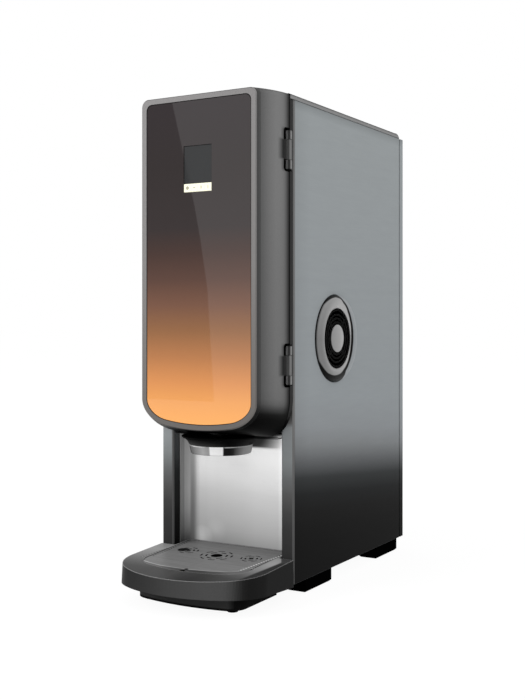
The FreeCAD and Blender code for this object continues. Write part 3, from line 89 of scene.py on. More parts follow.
# Shader building blocks
class Shader:
    def __init__(self, name):
        self.material = bpy.data.materials.new(name)
        self.material.use_nodes = True
        self.tree = self.material.node_tree
        self.bsdf = self.tree.nodes["Principled BSDF"]
        self.place = self.node("ShaderNodeTexCoord").outputs["Object"]

    def node(self, kind, inputs=None, **settings):
        made = self.tree.nodes.new(kind)
        for key, value in settings.items():
            setattr(made, key, value)
        for key, value in (inputs or {}).items():
            self.feed(made.inputs[key], value)
        return made

    def feed(self, socket, value):
        if isinstance(value, bpy.types.NodeSocket):
            self.tree.links.new(value, socket)
        else:
            socket.default_value = value

    def set(self, **values):
        for key, value in values.items():
            self.feed(self.bsdf.inputs[key.replace("_", " ")], value)

    def math(self, operation, a, b=0.0):
        return self.node("ShaderNodeMath", {0: a, 1: b}, operation=operation).outputs[0]

    def plus(self, a, b):
        return self.math("ADD", a, b)

    def minus(self, a, b):
        return self.math("SUBTRACT", a, b)

    def times(self, a, b):
        return self.math("MULTIPLY", a, b)

    def noise(self, stretch, scale, detail=3.0):
        mapped = self.node("ShaderNodeMapping", {"Vector": self.place, "Scale": stretch})
        inputs = {"Vector": mapped.outputs[0], "Scale": scale, "Detail": detail}
        return self.node("ShaderNodeTexNoise", inputs).outputs[0]

    def spread(self, value, low, high, to_low=0.0, to_high=1.0, clamp=True):
        inputs = {0: value, 1: low, 2: high, 3: to_low, 4: to_high}
        return self.node("ShaderNodeMapRange", inputs, clamp=clamp).outputs[0]

    # 1 up to a first value, then down to 0 at a second
    def fade(self, value, low, high):
        return self.spread(value, low, high, 1.0, 0.0)

    # How bright a noise makes the surface, a share up or down
    def level(self, noise, share):
        return self.spread(noise, 0.3, 0.7, 1 - share, 1 + share)

    def ramp(self, value, stops):
        made = self.node("ShaderNodeValToRGB", {0: value})
        marks = made.color_ramp.elements
        while len(marks) < len(stops):
            marks.new(0.5)
        for mark, (place, colour) in zip(marks, stops):
            mark.position = place
        for mark, (place, colour) in zip(marks, stops):
            mark.color = colour
        return made.outputs[0]

    # A ramp whose marks are places along a value, with colours
    def colours(self, value, marks):
        low, high = marks[0][0], marks[-1][0]
        stops = [((at - low) / (high - low), colour) for at, colour in marks]
        return self.ramp(self.spread(value, low, high), stops)

    # The same with greys as they look on screen, and with plain shares from 0 to 1
    def greys(self, value, marks):
        return self.colours(value, [(at, tone(v)) for at, v in marks])

    def shares(self, value, marks):
        return self.colours(value, [(at, (v, v, v, 1.0)) for at, v in marks])

    def mixed(self, amount, a, b, blend="MIX"):
        made = self.node("ShaderNodeMix", data_type="RGBA", blend_type=blend)
        self.feed(made.inputs[0], amount)
        self.feed(made.inputs[6], a)
        self.feed(made.inputs[7], b)
        return made.outputs[2]

    def tinted(self, a, b):
        return self.mixed(1.0, a, b, "MULTIPLY")

    def scaled(self, colour, amount):
        return self.node("ShaderNodeVectorMath", {0: colour, "Scale": amount}, operation="SCALE").outputs[0]

    def axis(self, name):
        return self.node("ShaderNodeSeparateXYZ", {0: self.place}).outputs[name]

    # Millimetres behind the cabinet's front, and outside its right side
    def depth(self):
        return self.spread(self.axis("Y"), cabinet_front, cabinet_front + 1, 0.0, 1 / MM, clamp=False)

    def aside(self):
        return self.spread(self.axis("X"), cabinet_side, cabinet_side + 1, 0.0, 1 / MM, clamp=False)

    # Distance and angle in degrees round an axis through a centre, along two of the axes X, Y and Z
    def polar(self, a, b, centre):
        along = self.minus(self.axis(a), getattr(centre, a.lower()))
        up = self.minus(self.axis(b), getattr(centre, b.lower()))
        squares = self.plus(self.times(along, along), self.times(up, up))
        turn = self.times(self.math("ARCTAN2", up, along), 180 / math.pi)
        return self.math("SQRT", squares), turn

    def facing(self, name):
        normal = self.node("ShaderNodeNewGeometry").outputs["True Normal"]
        return self.node("ShaderNodeSeparateXYZ", {0: normal}).outputs[name]

    # 1 along edges, where the softened normal leaves the true one
    def edges(self, radius):
        soft = self.node("ShaderNodeBevel", {"Radius": radius}, samples=6)
        true = self.node("ShaderNodeNewGeometry").outputs["True Normal"]
        same = self.node("ShaderNodeVectorMath", {0: soft.outputs[0], 1: true}, operation="DOT_PRODUCT")
        return self.spread(same.outputs["Value"], 0.985, 0.85)


# Roughness, bump and softened edges
def dress(s, grain, rough, metal=0.0, bump=0.03, edge=0.0005, coat=0.0, specular=0.25):
    soft = s.node("ShaderNodeBevel", {"Radius": edge}, samples=4)
    inputs = {"Strength": bump, "Distance": 0.0005, "Height": grain, "Normal": soft.outputs[0]}
    raised = s.node("ShaderNodeBump", inputs)
    s.set(Roughness=s.spread(grain, 0.2, 0.8, rough * 0.92, rough * 1.08), Normal=raised.outputs[0])
    s.bsdf.inputs["Metallic"].default_value = metal
    s.bsdf.inputs["Specular IOR Level"].default_value = specular
    s.bsdf.inputs["Coat Weight"].default_value = coat
    s.bsdf.inputs["Coat Roughness"].default_value = 0.03


# A painted colour with a fine even grain
def painted(s, colour, scale, uneven, rough, bump, edge, specular, stretch=(1, 1, 1)):
    grain = s.noise(stretch, scale)
    s.set(Base_Color=s.scaled(colour, s.level(grain, uneven)))
    dress(s, grain, rough, bump=bump, edge=edge, specular=specular)
    return s.material


# A plain finish: one colour, slightly uneven, with a painted highlight colour along the edges where one is
# given
def finish(name, colour, rough=0.5, metal=0.0, stretch=(1, 1, 1), scale=260.0, uneven=0.05, bump=0.03,
           edge=0.0005, coat=0.0, specular=0.25, rim_highlight=None):
    s = Shader(name)
    grain = s.noise(stretch, scale)
    base = s.mixed(s.edges(edge), colour, rim_highlight) if rim_highlight else rgb(colour)
    s.set(Base_Color=s.scaled(base, s.level(grain, uneven)))
    dress(s, grain, rough, metal, bump, edge, coat, specular)
    return s.material


# The side sheet carries a painted reflection: light above and nearly black at the foot, as it looks between a
# pale room and a dark floor. The painted dark band rises a little towards the rear, and painted shade darkens
# the sheet at its front edge and under the lid.
def side_reflection_and_shade(s, height, depth):
    rows = [(0.0, tone(12)), (0.02, tone(12)), (0.06, tone(15)), (0.08, tone(19)), (0.1, tone(25)),
            (0.12, tone(34, 35, 36)), (0.14, tone(55, 57, 58)), (0.16, tone(100, 102, 104)),
            (0.18, tone(130, 133, 135)), (0.2, tone(142, 146, 149)), (0.24, tone(148, 153, 156)),
            (0.6, tone(152, 157, 159))]
    rise = 0.09 * MM
    leaning = s.plus(height, s.times(depth, rise))
    # Painted shade along the sheet's front edge and under the lid
    edge = s.shares(depth, [(0, 0.6), (2.4, 0.62), (3.6, 0.9), (40, 1.0)])
    lid_shade = s.shares(height, [(0.566, 1.0), (0.5745, 0.84), (0.578, 0.72)])
    return s.tinted(s.tinted(s.colours(leaning, rows), edge), lid_shade)


# The niche's posts are the side sheets' front edges: a painted reflection that darkens towards the foot, and
# the door's painted shadow above them
def post_reflection_and_shadow(s, height):
    rows = [(0.0, tone(46)), (0.02, tone(46)), (0.06, tone(54)), (0.08, tone(57)), (0.1, tone(68)),
            (0.12, tone(86)), (0.14, tone(106, 108, 109)), (0.16, tone(134, 138, 139)),
            (0.18, tone(148, 152, 154)), (0.199, tone(150, 154, 156)), (0.204, tone(112)),
            (0.209, tone(92)), (0.214, tone(70)), (0.22, tone(50)), (0.6, tone(50))]
    return s.colours(height, rows)


# The lid: painted shade in a dark band along its upper edge, a pale top, and painted black shade at the front
# where the door's gap runs up
def lid_colour_and_shade(s, height, depth, is_front):
    top = lid_high.z
    edge = s.greys(height, [(lid_low.z, 132), (top - 4 * MM, 140), (top - 2.2 * MM, 122),
                            (top - 1.2 * MM, 60), (top, 46)])
    lid = s.mixed(s.spread(s.facing("Z"), 0.8, 0.9), edge, tone(150, 154, 156))
    return s.mixed(s.times(is_front, s.fade(depth, -5.0, -4.0)), lid, tone(8))


# Brushed graphite sheet of the side panels, the rear cover and the lid
def panel_finish():
    s = Shader("panel_sheet")
    depth, height, front = s.depth(), s.axis("Z"), s.facing("Y")
    near_front = s.fade(depth, 50.0, 60.0)
    is_front = s.times(s.fade(front, -0.75, -0.65), near_front)
    colour = s.mixed(is_front, side_reflection_and_shade(s, height, depth), post_reflection_and_shadow(s, height))

    # Painted shade on the rounded bend at the sheet's front, darker towards the foot
    is_bend = s.spread(s.times(front, s.facing("X")), -0.2, -0.3)
    colour = s.mixed(is_bend, colour, s.greys(height, [(0.04, 80), (0.12, 92), (0.14, 98), (0.2, 116)]))

    # Painted shade on the return lip inside the niche, nearly black at the foot
    lip_at = cabinet_side - post_width
    is_lip = s.fade(s.math("ABSOLUTE", s.axis("X")), lip_at - 0.2 * MM, lip_at + 0.2 * MM)
    is_lip = s.times(s.times(is_lip, s.spread(front, -0.3, -0.2)), near_front)
    lip_shade_rows = [(0.0, tone(22)), (0.05, tone(22)), (0.08, tone(34)), (0.1, tone(48, 50, 50)),
                (0.6, tone(50, 52, 52))]
    colour = s.mixed(is_lip, colour, s.colours(height, lip_shade_rows))

    is_lid = s.spread(height, lid_low.z - 0.3 * MM, lid_low.z + 0.3 * MM)
    colour = s.mixed(is_lid, colour, lid_colour_and_shade(s, height, depth, is_front))
    # Painted light and shade along the edges: a mid grey line over their rounding
    colour = s.mixed(s.times(s.edges(0.8 * MM), 0.35), colour, tone(120, 124, 124))
    fine = s.noise((1, 1, 60), 40.0)
    broad = s.noise((1, 2, 14), 9.0)
    s.set(Base_Color=s.scaled(colour, s.times(s.level(fine, 0.02), s.level(broad, 0.015))))
    dress(s, fine, 0.42, bump=0.02, edge=0.0006, specular=0.012)
    return s.material


# Glass printed from near black down to orange, under a clear gloss
def printed_glass():
    s = Shader("printed_glass")
    rows = [(0.0, tone(250, 173, 94)), (0.205, tone(250, 173, 94)), (0.23, tone(238, 163, 93)),
            (0.25, tone(220, 147, 88)), (0.28, tone(183, 123, 78)), (0.31, tone(147, 102, 68)),
            (0.34, tone(118, 83, 66)), (0.37, tone(90, 65, 56)), (0.4, tone(70, 52, 47)),
            (0.43, tone(53, 46, 46)), (0.5, tone(48, 42, 42)), (0.577, tone(48, 42, 44)),
            (0.6, tone(48, 42, 44))]
    grain = s.noise((1, 1, 1), 6.0)
    s.set(Base_Color=s.scaled(s.colours(s.axis("Z"), rows), s.level(grain, 0.01)))
    s.set(Roughness=s.spread(grain, 0.0, 1.0, 0.3, 0.4))
    s.bsdf.inputs["Coat Weight"].default_value = 1.0
    s.bsdf.inputs["Coat Roughness"].default_value = 0.015
    s.bsdf.inputs["Specular IOR Level"].default_value = 0.0
    return s.material


# How the light falls off down the door's side, to black where it turns under, sooner towards the front
def flank_fall(s):
    marks = [(0.19, 0.03), (0.197, 0.02), (0.203, 0.006), (0.209, 0.004), (0.215, 0.04), (0.2208, 0.28),
             (0.2265, 0.58), (0.232, 0.72), (0.243, 0.78), (0.266, 0.8), (0.31, 0.82), (0.4, 0.87),
             (0.48, 0.93), (0.58, 0.95)]
    drop = s.spread(s.depth(), -62.0, -22.0, -4.6 * MM, 0.0)
    return s.shares(s.plus(s.axis("Z"), drop), marks)


# 1 within a distance of the hinges' middles, up and down
def near_hinges(s, reach, soft):
    gaps = [s.math("ABSOLUTE", s.minus(s.axis("Z"), z)) for z in hinge_middles]
    return s.fade(s.math("MINIMUM", *gaps), reach - soft, reach + soft)


# The door's flank is painted with shade: darker where it turns to the front and at the gap, black underneath
# and in its hinge pockets, and a painted shadow of the barrels beside the hinges
def door_finish():
    s = Shader("door_paint")
    depth = s.depth()
    # Painted shade across the flank, darker at the front turn and at the gap
    flank = s.greys(depth, [(-60, 88), (-54.7, 99), (-49.8, 110), (-44.6, 118), (-36, 126), (-29.5, 125),
                            (-26, 123), (-22, 116), (-18.1, 96), (-13.9, 57), (-11, 22)])
    colour = s.tinted(flank, flank_fall(s))
    # Painted shadow of the hinge barrels on the flank beside them
    beside = s.times(near_hinges(s, 24 * MM, 2 * MM), s.spread(depth, -28.0, -23.0, 0.0, 0.6))
    behind = s.times(near_hinges(s, 11.8 * MM, 1.5 * MM), s.spread(depth, -33.0, -24.0, 0.0, 0.9))
    colour = s.mixed(s.math("MAXIMUM", beside, behind), colour, tone(12))
    # Painted black shade inside the hinge pockets
    pocket_shade = s.times(s.fade(s.aside(), -1.8, -1.5), s.spread(depth, -23.2, -22.9))
    pocket_shade = s.times(pocket_shade, near_hinges(s, 27 * MM, 0.5 * MM))
    colour = s.mixed(pocket_shade, colour, tone(5))
    colour = s.mixed(s.spread(s.facing("Z"), 0.5, 0.9), colour, tone(62))
    return painted(s, colour, scale=500.0, uneven=0.03, rough=0.5, bump=0.03, edge=0.0008, specular=0.03)


# The flat ring round the glass: its front painted lighter towards the top and the left as the light falls,
# and its narrow side painted into shade like the door's flank
def ring_finish():
    s = Shader("ring_paint")
    height = s.spread(s.axis("Z"), door_low.z, door_high.z)
    # Painted light on the front: lighter towards the top and the left
    front = s.ramp(height, [(0.0, tone(104, 101, 99)), (0.15, tone(116, 112, 109)),
                            (0.5, tone(132, 130, 129)), (1.0, tone(142, 140, 140))])
    front = s.scaled(front, s.spread(s.axis("X"), door_low.x, door_high.x, 1.04, 0.9))
    # Painted shade on the ring's narrow side, falling off like the door's flank
    side = s.greys(s.depth(), [(-62.5, 34), (-61.5, 46), (-60, 66), (-57, 78)])
    side = s.tinted(side, flank_fall(s))
    colour = s.mixed(s.spread(s.facing("Y"), -0.9, -0.75), front, side)
    return painted(s, colour, scale=400.0, uneven=0.02, rough=0.45, bump=0.02, edge=0.0006, specular=0.1)


# A hinge barrel is painted with reflections in streaks along it, which change with the angle round its pin;
# its leaf is painted grey that darkens into shade towards the front, and its ends are painted black as shade
def barrel_finish(name, reflection_streaks):
    s = Shader(name)
    radius, turn = s.polar("X", "Y", hinge_pin)
    leaf_shade = s.greys(s.depth(), [(-22, 36), (-18, 44), (-14, 70)])
    off_barrel = s.spread(radius, barrel_radius - 0.2 * MM, barrel_radius + 0.2 * MM)
    colour = s.mixed(off_barrel, s.greys(turn, reflection_streaks), leaf_shade)
    # Painted black shade on the barrel's ends
    colour = s.mixed(s.spread(s.math("ABSOLUTE", s.facing("Z")), 0.3, 0.7), colour, tone(8))
    return painted(s, colour, scale=400.0, uneven=0.05, rough=0.35, bump=0.02, edge=0.0003, specular=0.03)


# The niche's back, painted with light: brighter above and to the right, with two painted glints low on its
# left, and the spout's end's painted shadow in its upper right corner
def niche_back_light(s, height, aside):
    back = s.greys(height, [(0.04, 140), (0.0495, 148), (0.053, 152), (0.064, 165), (0.088, 177),
                            (0.111, 194), (0.135, 222), (0.155, 238), (0.19, 244)])
    across = s.shares(aside, [(-166, 0.26), (-161.5, 0.32), (-158.6, 0.56), (-156, 0.8), (-151.5, 0.93),
                              (-143, 0.82), (-126, 0.78), (-108, 0.81), (-90, 0.86), (-71, 0.94),
                              (-54, 0.97), (-40, 1.0), (-37, 1.12), (-35, 1.12), (-18, 0.3)])
    back = s.tinted(back, across)
    # Two painted glints low on the left
    for aside_mm, height_mm, strength in ((-148, 52, 1.6), (-128, 62, 1.18)):
        glint = s.polar("X", "Z", spot_at(aside=aside_mm, height=height_mm))[0]
        back = s.scaled(back, s.spread(glint, 2 * MM, 16 * MM, strength, 1.0))
    # The painted shadow of the spout's end
    radius = s.polar("X", "Z", spot_at(aside=-74, height=186))[0]
    shade = s.shares(radius, [(0.0, 0.03), (0.0155, 0.045), (0.0185, 0.08), (0.0225, 0.16), (0.0285, 0.32),
                              (0.037, 0.62), (0.044, 1.0)])
    is_shaded = s.times(s.spread(height, 167 * MM, 170 * MM), s.spread(aside, -78.0, -76.0))
    return s.mixed(is_shaded, back, s.tinted(back, shade))


# Brushed steel of the niche, with painted shade darkening its folded side walls towards the foot, a painted
# highlight along the fold, and a glow of its own as painted light over the whole niche
def niche_finish():
    s = Shader("niche_steel")
    height = s.axis("Z")
    wall_shade = s.greys(height, [(0.045, 44), (0.053, 58), (0.064, 78), (0.088, 103), (0.111, 110),
                            (0.135, 109), (0.17, 106)])
    fold_highlight = s.shares(s.depth(), [(13, 0.9), (17, 1.0), (21.6, 1.0), (22.0, 1.8), (22.8, 1.8), (23.2, 1.55),
                                 (30, 1.8)])
    is_wall = s.spread(s.math("ABSOLUTE", s.facing("X")), 0.55, 0.75)
    colour = s.mixed(is_wall, niche_back_light(s, height, s.aside()), s.tinted(wall_shade, fold_highlight))
    fine = s.noise((1, 1, 60), 30.0)
    broad = s.noise((3, 3, 7), 4.0)
    colour = s.scaled(colour, s.times(s.level(fine, 0.015), s.level(broad, 0.02)))
    # Painted light: the niche glows with its own colour
    s.set(Base_Color=colour, Emission_Color=colour)
    s.bsdf.inputs["Emission Strength"].default_value = 0.45
    dress(s, fine, 0.36, metal=0.25, bump=0.02, edge=0.0008)
    return s.material


# Turned steel ring: painted reflections in streaks that run round with its angle, and a painted highlight
# along its top edge beside them
def ring_steel():
    s = Shader("spout_steel")
    turn = s.polar("X", "Y", spout_centre)[1]
    reflection_streaks = [(-150, 24), (-135, 34), (-122, 84), (-116, 112), (-104, 142), (-93, 164), (-83, 152),
               (-80, 150), (-78, 240), (-55, 246), (-53, 16), (-50, 4), (-42, 5), (-35, 30), (-24, 100),
               (-12, 146), (6, 160), (34, 110)]
    beside = s.shares(turn, [(-125, 0.3), (-115, 0.8), (-95, 0.5), (-85, 0.0), (-54, 0.0), (-50, 0.5),
                             (-38, 0.5), (-30, 0.3), (10, 0.2)])
    # A painted highlight along the ring's top edge
    top = s.spread(s.axis("Z"), ring_high.z - 1.4 * MM, ring_high.z - 0.9 * MM)
    colour = s.mixed(s.times(top, beside), s.greys(turn, reflection_streaks), tone(235))
    return painted(s, colour, scale=60.0, uneven=0.03, rough=0.3, bump=0.01, edge=0.0006, specular=0.1,
                   stretch=(1, 1, 40))


# Black spout housing: painted shade that changes round it, a painted sheen along the lower edge of its
# collar, and on the right its front edge painted lighter where it runs out into the light
def housing_finish():
    s = Shader("housing_black")
    turn = s.polar("X", "Y", spout_centre)[1]
    low = s.fade(s.axis("Z"), ring_high.z, ring_high.z + 9 * MM)
    # A painted sheen low on the collar, over painted shade round the body
    painted_sheen = s.greys(turn, [(-140, 60), (-116, 66), (-80, 54), (-58, 34), (-46, 12), (-36, 16), (-22, 36),
                           (0, 60)])
    body = s.greys(turn, [(-120, 12), (-58, 8), (-30, 14), (-10, 24), (20, 26)])
    colour = s.mixed(s.math("POWER", low, 1.6), body, painted_sheen)
    # The plate's front edge painted lighter towards the right, where light reaches it
    painted_lit_edge = s.greys(s.aside(), [(-46, 24), (-36, 28), (-30, 52), (-25, 92), (-20, 140)])
    is_plate = s.times(s.spread(s.depth(), -12.0, -9.0), s.fade(s.facing("Z"), 0.5, 0.7))
    colour = s.mixed(is_plate, colour, painted_lit_edge)
    return painted(s, colour, scale=600.0, uneven=0.05, rough=0.5, bump=0.03, edge=0.0005, specular=0.008)


# The shelf's front edge is painted with the shade over the spout and painted lighter where it comes out of it
# at the right; that painted light also glows
def shelf_finish():
    s = Shader("shelf_steel")
    # Painted shade on the shelf's front edge, lighter towards the right
    shade = s.greys(s.aside(), [(-36, 14), (-31, 32), (-27, 62), (-24, 80), (-22, 105), (-20, 132)])
    inside = s.spread(s.depth(), 16.0, 22.0)
    colour = s.mixed(inside, shade, tone(172, 174, 176))
    # That painted light and shade also glows
    s.set(Emission_Color=s.mixed(inside, shade, tone(0)))
    s.bsdf.inputs["Emission Strength"].default_value = 0.85
    return painted(s, colour, scale=30.0, uneven=0.08, rough=0.4, bump=0.02, edge=0.0005, specular=0.05)


# Black frame behind the door: its outer face is painted lighter, as lit in the gap, and the whole frame
# darker towards the bottom as painted shade
def frame_finish():
    s = Shader("frame_black")
    # Painted light on the outer face, and painted shade lower down
    colour = s.mixed(s.spread(s.facing("X"), 0.9, 0.97), tone(8), tone(54))
    colour = s.scaled(colour, s.spread(s.axis("Z"), 0.19, 0.24, 0.7, 1.0))
    return painted(s, colour, scale=600.0, uneven=0.05, rough=0.5, bump=0.03, edge=0.0004, specular=0.008)


# A row of small slots along a slanting line: 1 on the row, and a wave along it that is high in the slots
def slot_row(s, start, slope, half):
    pitch = 4.6
    line = s.plus(s.times(s.depth(), slope), start)
    off = s.math("ABSOLUTE", s.minus(s.aside(), line))
    return s.fade(off, half - 0.3, half + 0.3), s.math("SINE", s.times(s.depth(), 2 * math.pi / pitch))


# Where the grid's painted highlight along its front runs: millimetres behind the cabinet's front, by the
# place across
def front_line(s):
    marks = [(-172, 0.6), (-165, 0.475), (-156, 0.34), (-146, 0.255), (-129, 0.16), (-106, 0.14),
             (-88, 0.158), (-63, 0.258), (-47, 0.38), (-35, 0.58), (-28, 1.0)]
    return s.spread(s.shares(s.aside(), marks), 0.0, 1.0, -90.0, -50.0)


# The drip grid has fine lines across it, painted black shade on its side faces and holes, slots with painted
# highlights on their webs on the right, a painted highlight along its front and the tray's painted deck
# shading ahead of that, and a painted dark drain on the left and a painted dark finger notch, both as shade
def grid_finish():
    s = Shader("grid_paint")
    depth = s.depth()
    is_top = s.spread(s.facing("Z"), 0.4, 0.7)
    # Painted black shade on every face but the top
    colour = s.mixed(is_top, tone(8), tone(122))
    # Slots on the right with painted highlights on their webs
    on_row, wave = slot_row(s, start=-26.0, slope=0.135, half=0.9)
    on_row = s.times(on_row, s.spread(depth, -66.0, -64.0))
    colour = s.mixed(on_row, colour, s.greys(wave, [(-1.0, 235), (0.1, 225), (0.5, 100), (1.0, 84)]))
    # A painted highlight along the front, and the tray's painted deck shading ahead of it
    past = s.minus(depth, front_line(s))
    line = s.greys(s.aside(), [(-150, 180), (-106, 158), (-60, 146), (-36, 154)])
    ahead = s.greys(s.aside(), [(-150, 98), (-106, 84), (-75, 58), (-50, 78), (-36, 102)])
    colour = s.mixed(s.times(is_top, s.fade(past, 0.6, 1.2)), colour, line)
    colour = s.mixed(s.times(is_top, s.fade(past, -1.2, -0.6)), colour, ahead)
    # A painted dark drain and finger notch, as shade in them
    drain = s.polar("X", "Y", spot_at(aside=-144.4, depth=-14))[0]
    colour = s.mixed(s.fade(drain, 6.4 * MM, 7.8 * MM), colour, tone(26))
    notch = s.polar("X", "Y", spot_at(aside=-92.5, depth=-84))[0]
    colour = s.mixed(s.fade(notch, 2.0 * MM, 2.8 * MM), colour, tone(14))
    lines = s.noise((14, 420, 1), 1.0, 2.0)
    grain = s.noise((1, 1, 1), 200.0)
    level = s.times(s.spread(lines, 0.3, 0.7, 0.82, 1.12), s.level(grain, 0.05))
    s.set(Base_Color=s.scaled(colour, level))
    dress(s, grain, 0.4, bump=0.05, edge=0.0002, specular=0.04)
    return s.material


# The tray's deck, painted with light and shade: darker towards the front, with a painted change across it at
# the front and at the back
def deck_light_and_shade(s, depth, aside):
    deck = s.greys(depth, [(-130, 54), (-98, 64), (-62, 104), (-26, 134), (0, 128), (30, 116)])
    front = s.shares(aside, [(-186, 0.8), (-130, 0.72), (-95, 0.93), (-76, 0.62), (-62, 0.46), (-50, 0.5),
                             (-35, 0.68), (-20, 0.75)])
    back = s.shares(aside, [(-186, 0.9), (-150, 0.82), (-110, 0.69), (-60, 0.69), (-30, 0.9), (-16, 0.98)])
    share = s.mixed(s.spread(depth, -84.0, -58.0), front, back)
    return s.scaled(s.tinted(deck, share), 1.45)


# Tray: deck painted with light, a row of slots on the left painted dark with pale webs, painted shade along
# its turned right edge and a painted shadow at the post's foot; a skirt in painted shade, darkest round the
# right side, and a thin painted highlight along the rim
def tray_finish():
    s = Shader("tray_plastic")
    depth, aside, right = s.depth(), s.aside(), s.facing("X")
    deck = deck_light_and_shade(s, depth, aside)
    # A row of slots on the left, painted dark as shade in them, with pale webs between
    on_row, wave = slot_row(s, start=-163.0, slope=0.1, half=0.8)
    row_middle, row_half = -42.0, 24.0
    along = s.math("ABSOLUTE", s.minus(depth, row_middle))
    on_row = s.times(on_row, s.fade(along, row_half - 1, row_half + 1))
    deck = s.mixed(on_row, deck, s.greys(wave, [(-1.0, 20), (0.0, 30), (0.4, 140), (1.0, 150)]))
    edge_slope, foot_slope = 0.093, 0.555
    turned = s.minus(aside, s.times(depth, edge_slope))
    # Painted shade along the turned right edge
    deck = s.mixed(s.spread(turned, -7.6, -4.4), deck, tone(34))
    # Painted shadow at the post's foot
    post_foot_shadow = s.spread(s.plus(aside, s.times(depth, foot_slope)), -17.6, -16.0)
    deck = s.mixed(s.times(post_foot_shadow, s.spread(depth, -24.0, -16.0)), deck, tone(66))
    # Painted shade round the skirt, darkest on the right side
    skirt_shade = s.greys(right, [(-0.5, 28), (-0.34, 43), (-0.1, 55), (0.03, 62), (0.15, 66), (0.27, 69),
                            (0.42, 73), (0.55, 73), (0.66, 65), (0.74, 50), (0.82, 31), (0.88, 25),
                            (0.97, 25), (1.0, 18)])
    colour = s.mixed(s.spread(s.facing("Z"), 0.6, 0.8), skirt_shade, deck)
    above = s.spread(s.axis("Z"), tray_foot + 15 * MM, tray_foot + 22 * MM)
    # A thin painted highlight along the rim
    rim_highlight = s.times(s.edges(1.6 * MM), s.times(above, s.spread(right, 0.5, 0.8, 0.95, 0.45)))
    colour = s.mixed(rim_highlight, colour, tone(160))
    return painted(s, colour, scale=700.0, uneven=0.04, rough=0.42, bump=0.06, edge=0.0009, specular=0.03)


# The carrier under the tray is dark grey where light still reaches it, and black below
def carrier_finish():
    s = Shader("carrier_black")
    colour = s.greys(s.axis("Z"), [(0.004, 14), (0.0055, 28), (0.0065, 64), (0.018, 60)])
    # Painted shade: darker on the carrier's right side
    colour = s.mixed(s.spread(s.facing("X"), 0.35, 0.7), colour, tone(21))
    return painted(s, colour, scale=600.0, uneven=0.05, rough=0.5, bump=0.03, edge=0.0004, specular=0.004)


# The vent's bezel: pale gloss painted with light by radius and angle, then a painted black shadow outline,
# which on the far side and below starts further in. Past the outline, the far side has the side panel's
# painted colour. Both are shares of the radius, by the angle.
def bezel_finish():
    s = Shader("bezel_gloss")
    radius, turn = s.polar("Y", "Z", vent_centre)
    share = s.math("DIVIDE", radius, vent_radius)
    # Painted light on the gloss, by radius and angle
    body = s.greys(s.spread(share, 0.68, 1.0), [(0.0, 190), (0.3, 164), (0.75, 150), (0.95, 160), (1.0, 150)])
    light_by_angle = s.shares(turn, [(-180, 0.5), (-90, 0.6), (-45.8, 0.74), (-22.9, 0.9), (22.9, 0.9),
                               (45.8, 0.8), (90, 0.8), (137.5, 0.62), (180, 0.5)])
    body = s.scaled(s.tinted(body, light_by_angle), 1.35)
    outline = s.shares(turn, [(-180, 0.985), (-151, 0.985), (-126, 0.935), (-113, 0.885), (-98, 0.82),
                              (-75, 0.745), (-69, 0.735), (-51, 0.715), (-35, 0.7), (-16, 0.69), (5, 0.692),
                              (36, 0.712), (54, 0.735), (72, 0.79), (79, 0.81), (88, 0.89), (100, 0.94),
                              (130, 0.985), (180, 0.985)])
    beyond = s.shares(turn, [(-180, 1.0), (-98, 1.0), (-80, 0.71), (-69, 0.61), (-51, 0.581), (-35, 0.571),
                             (-16, 0.563), (5, 0.563), (36, 0.577), (54, 0.6), (72, 0.645), (79, 0.67),
                             (88, 0.735), (96, 1.0), (180, 1.0)])
    beyond = s.times(beyond, 1.31)
    # The painted black shadow outline round the bezel
    body = s.mixed(s.spread(s.minus(share, outline), -0.008, 0.008), body, tone(5))
    # Past the outline on the far side, the side panel's painted colour
    body = s.mixed(s.spread(s.minus(share, beyond), -0.008, 0.008), body, tone(148, 152, 155))
    return painted(s, body, scale=500.0, uneven=0.02, rough=0.3, bump=0.01, edge=0.0003, specular=0.06)


# The vent's cap is painted brighter on its far side, as light falls on it
def cap_finish():
    s = Shader("cap_plastic")
    colour = s.greys(s.depth(), [(92, 142), (109, 155), (124, 174)])
    return painted(s, colour, scale=500.0, uneven=0.02, rough=0.4, bump=0.02, edge=0.0004, specular=0.1)


# The touch keys are given a glow of their own in their cream colour
def glow(name, colour, strength):
    s = Shader(name)
    grain = s.noise((1, 1, 1), 120.0)
    s.set(Base_Color=s.scaled(rgb(colour), s.level(grain, 0.02)), Emission_Color=colour)
    s.bsdf.inputs["Emission Strength"].default_value = strength
    s.bsdf.inputs["Roughness"].default_value = 0.3
    return s.material


def clear(name, colour, opacity):
    s = Shader(name)
    grain = s.noise((1, 1, 1), 90.0)
    s.set(Base_Color=colour, Roughness=s.spread(grain, 0.2, 0.8, 0.18, 0.26))
    s.bsdf.inputs["Alpha"].default_value = opacity
    return s.material


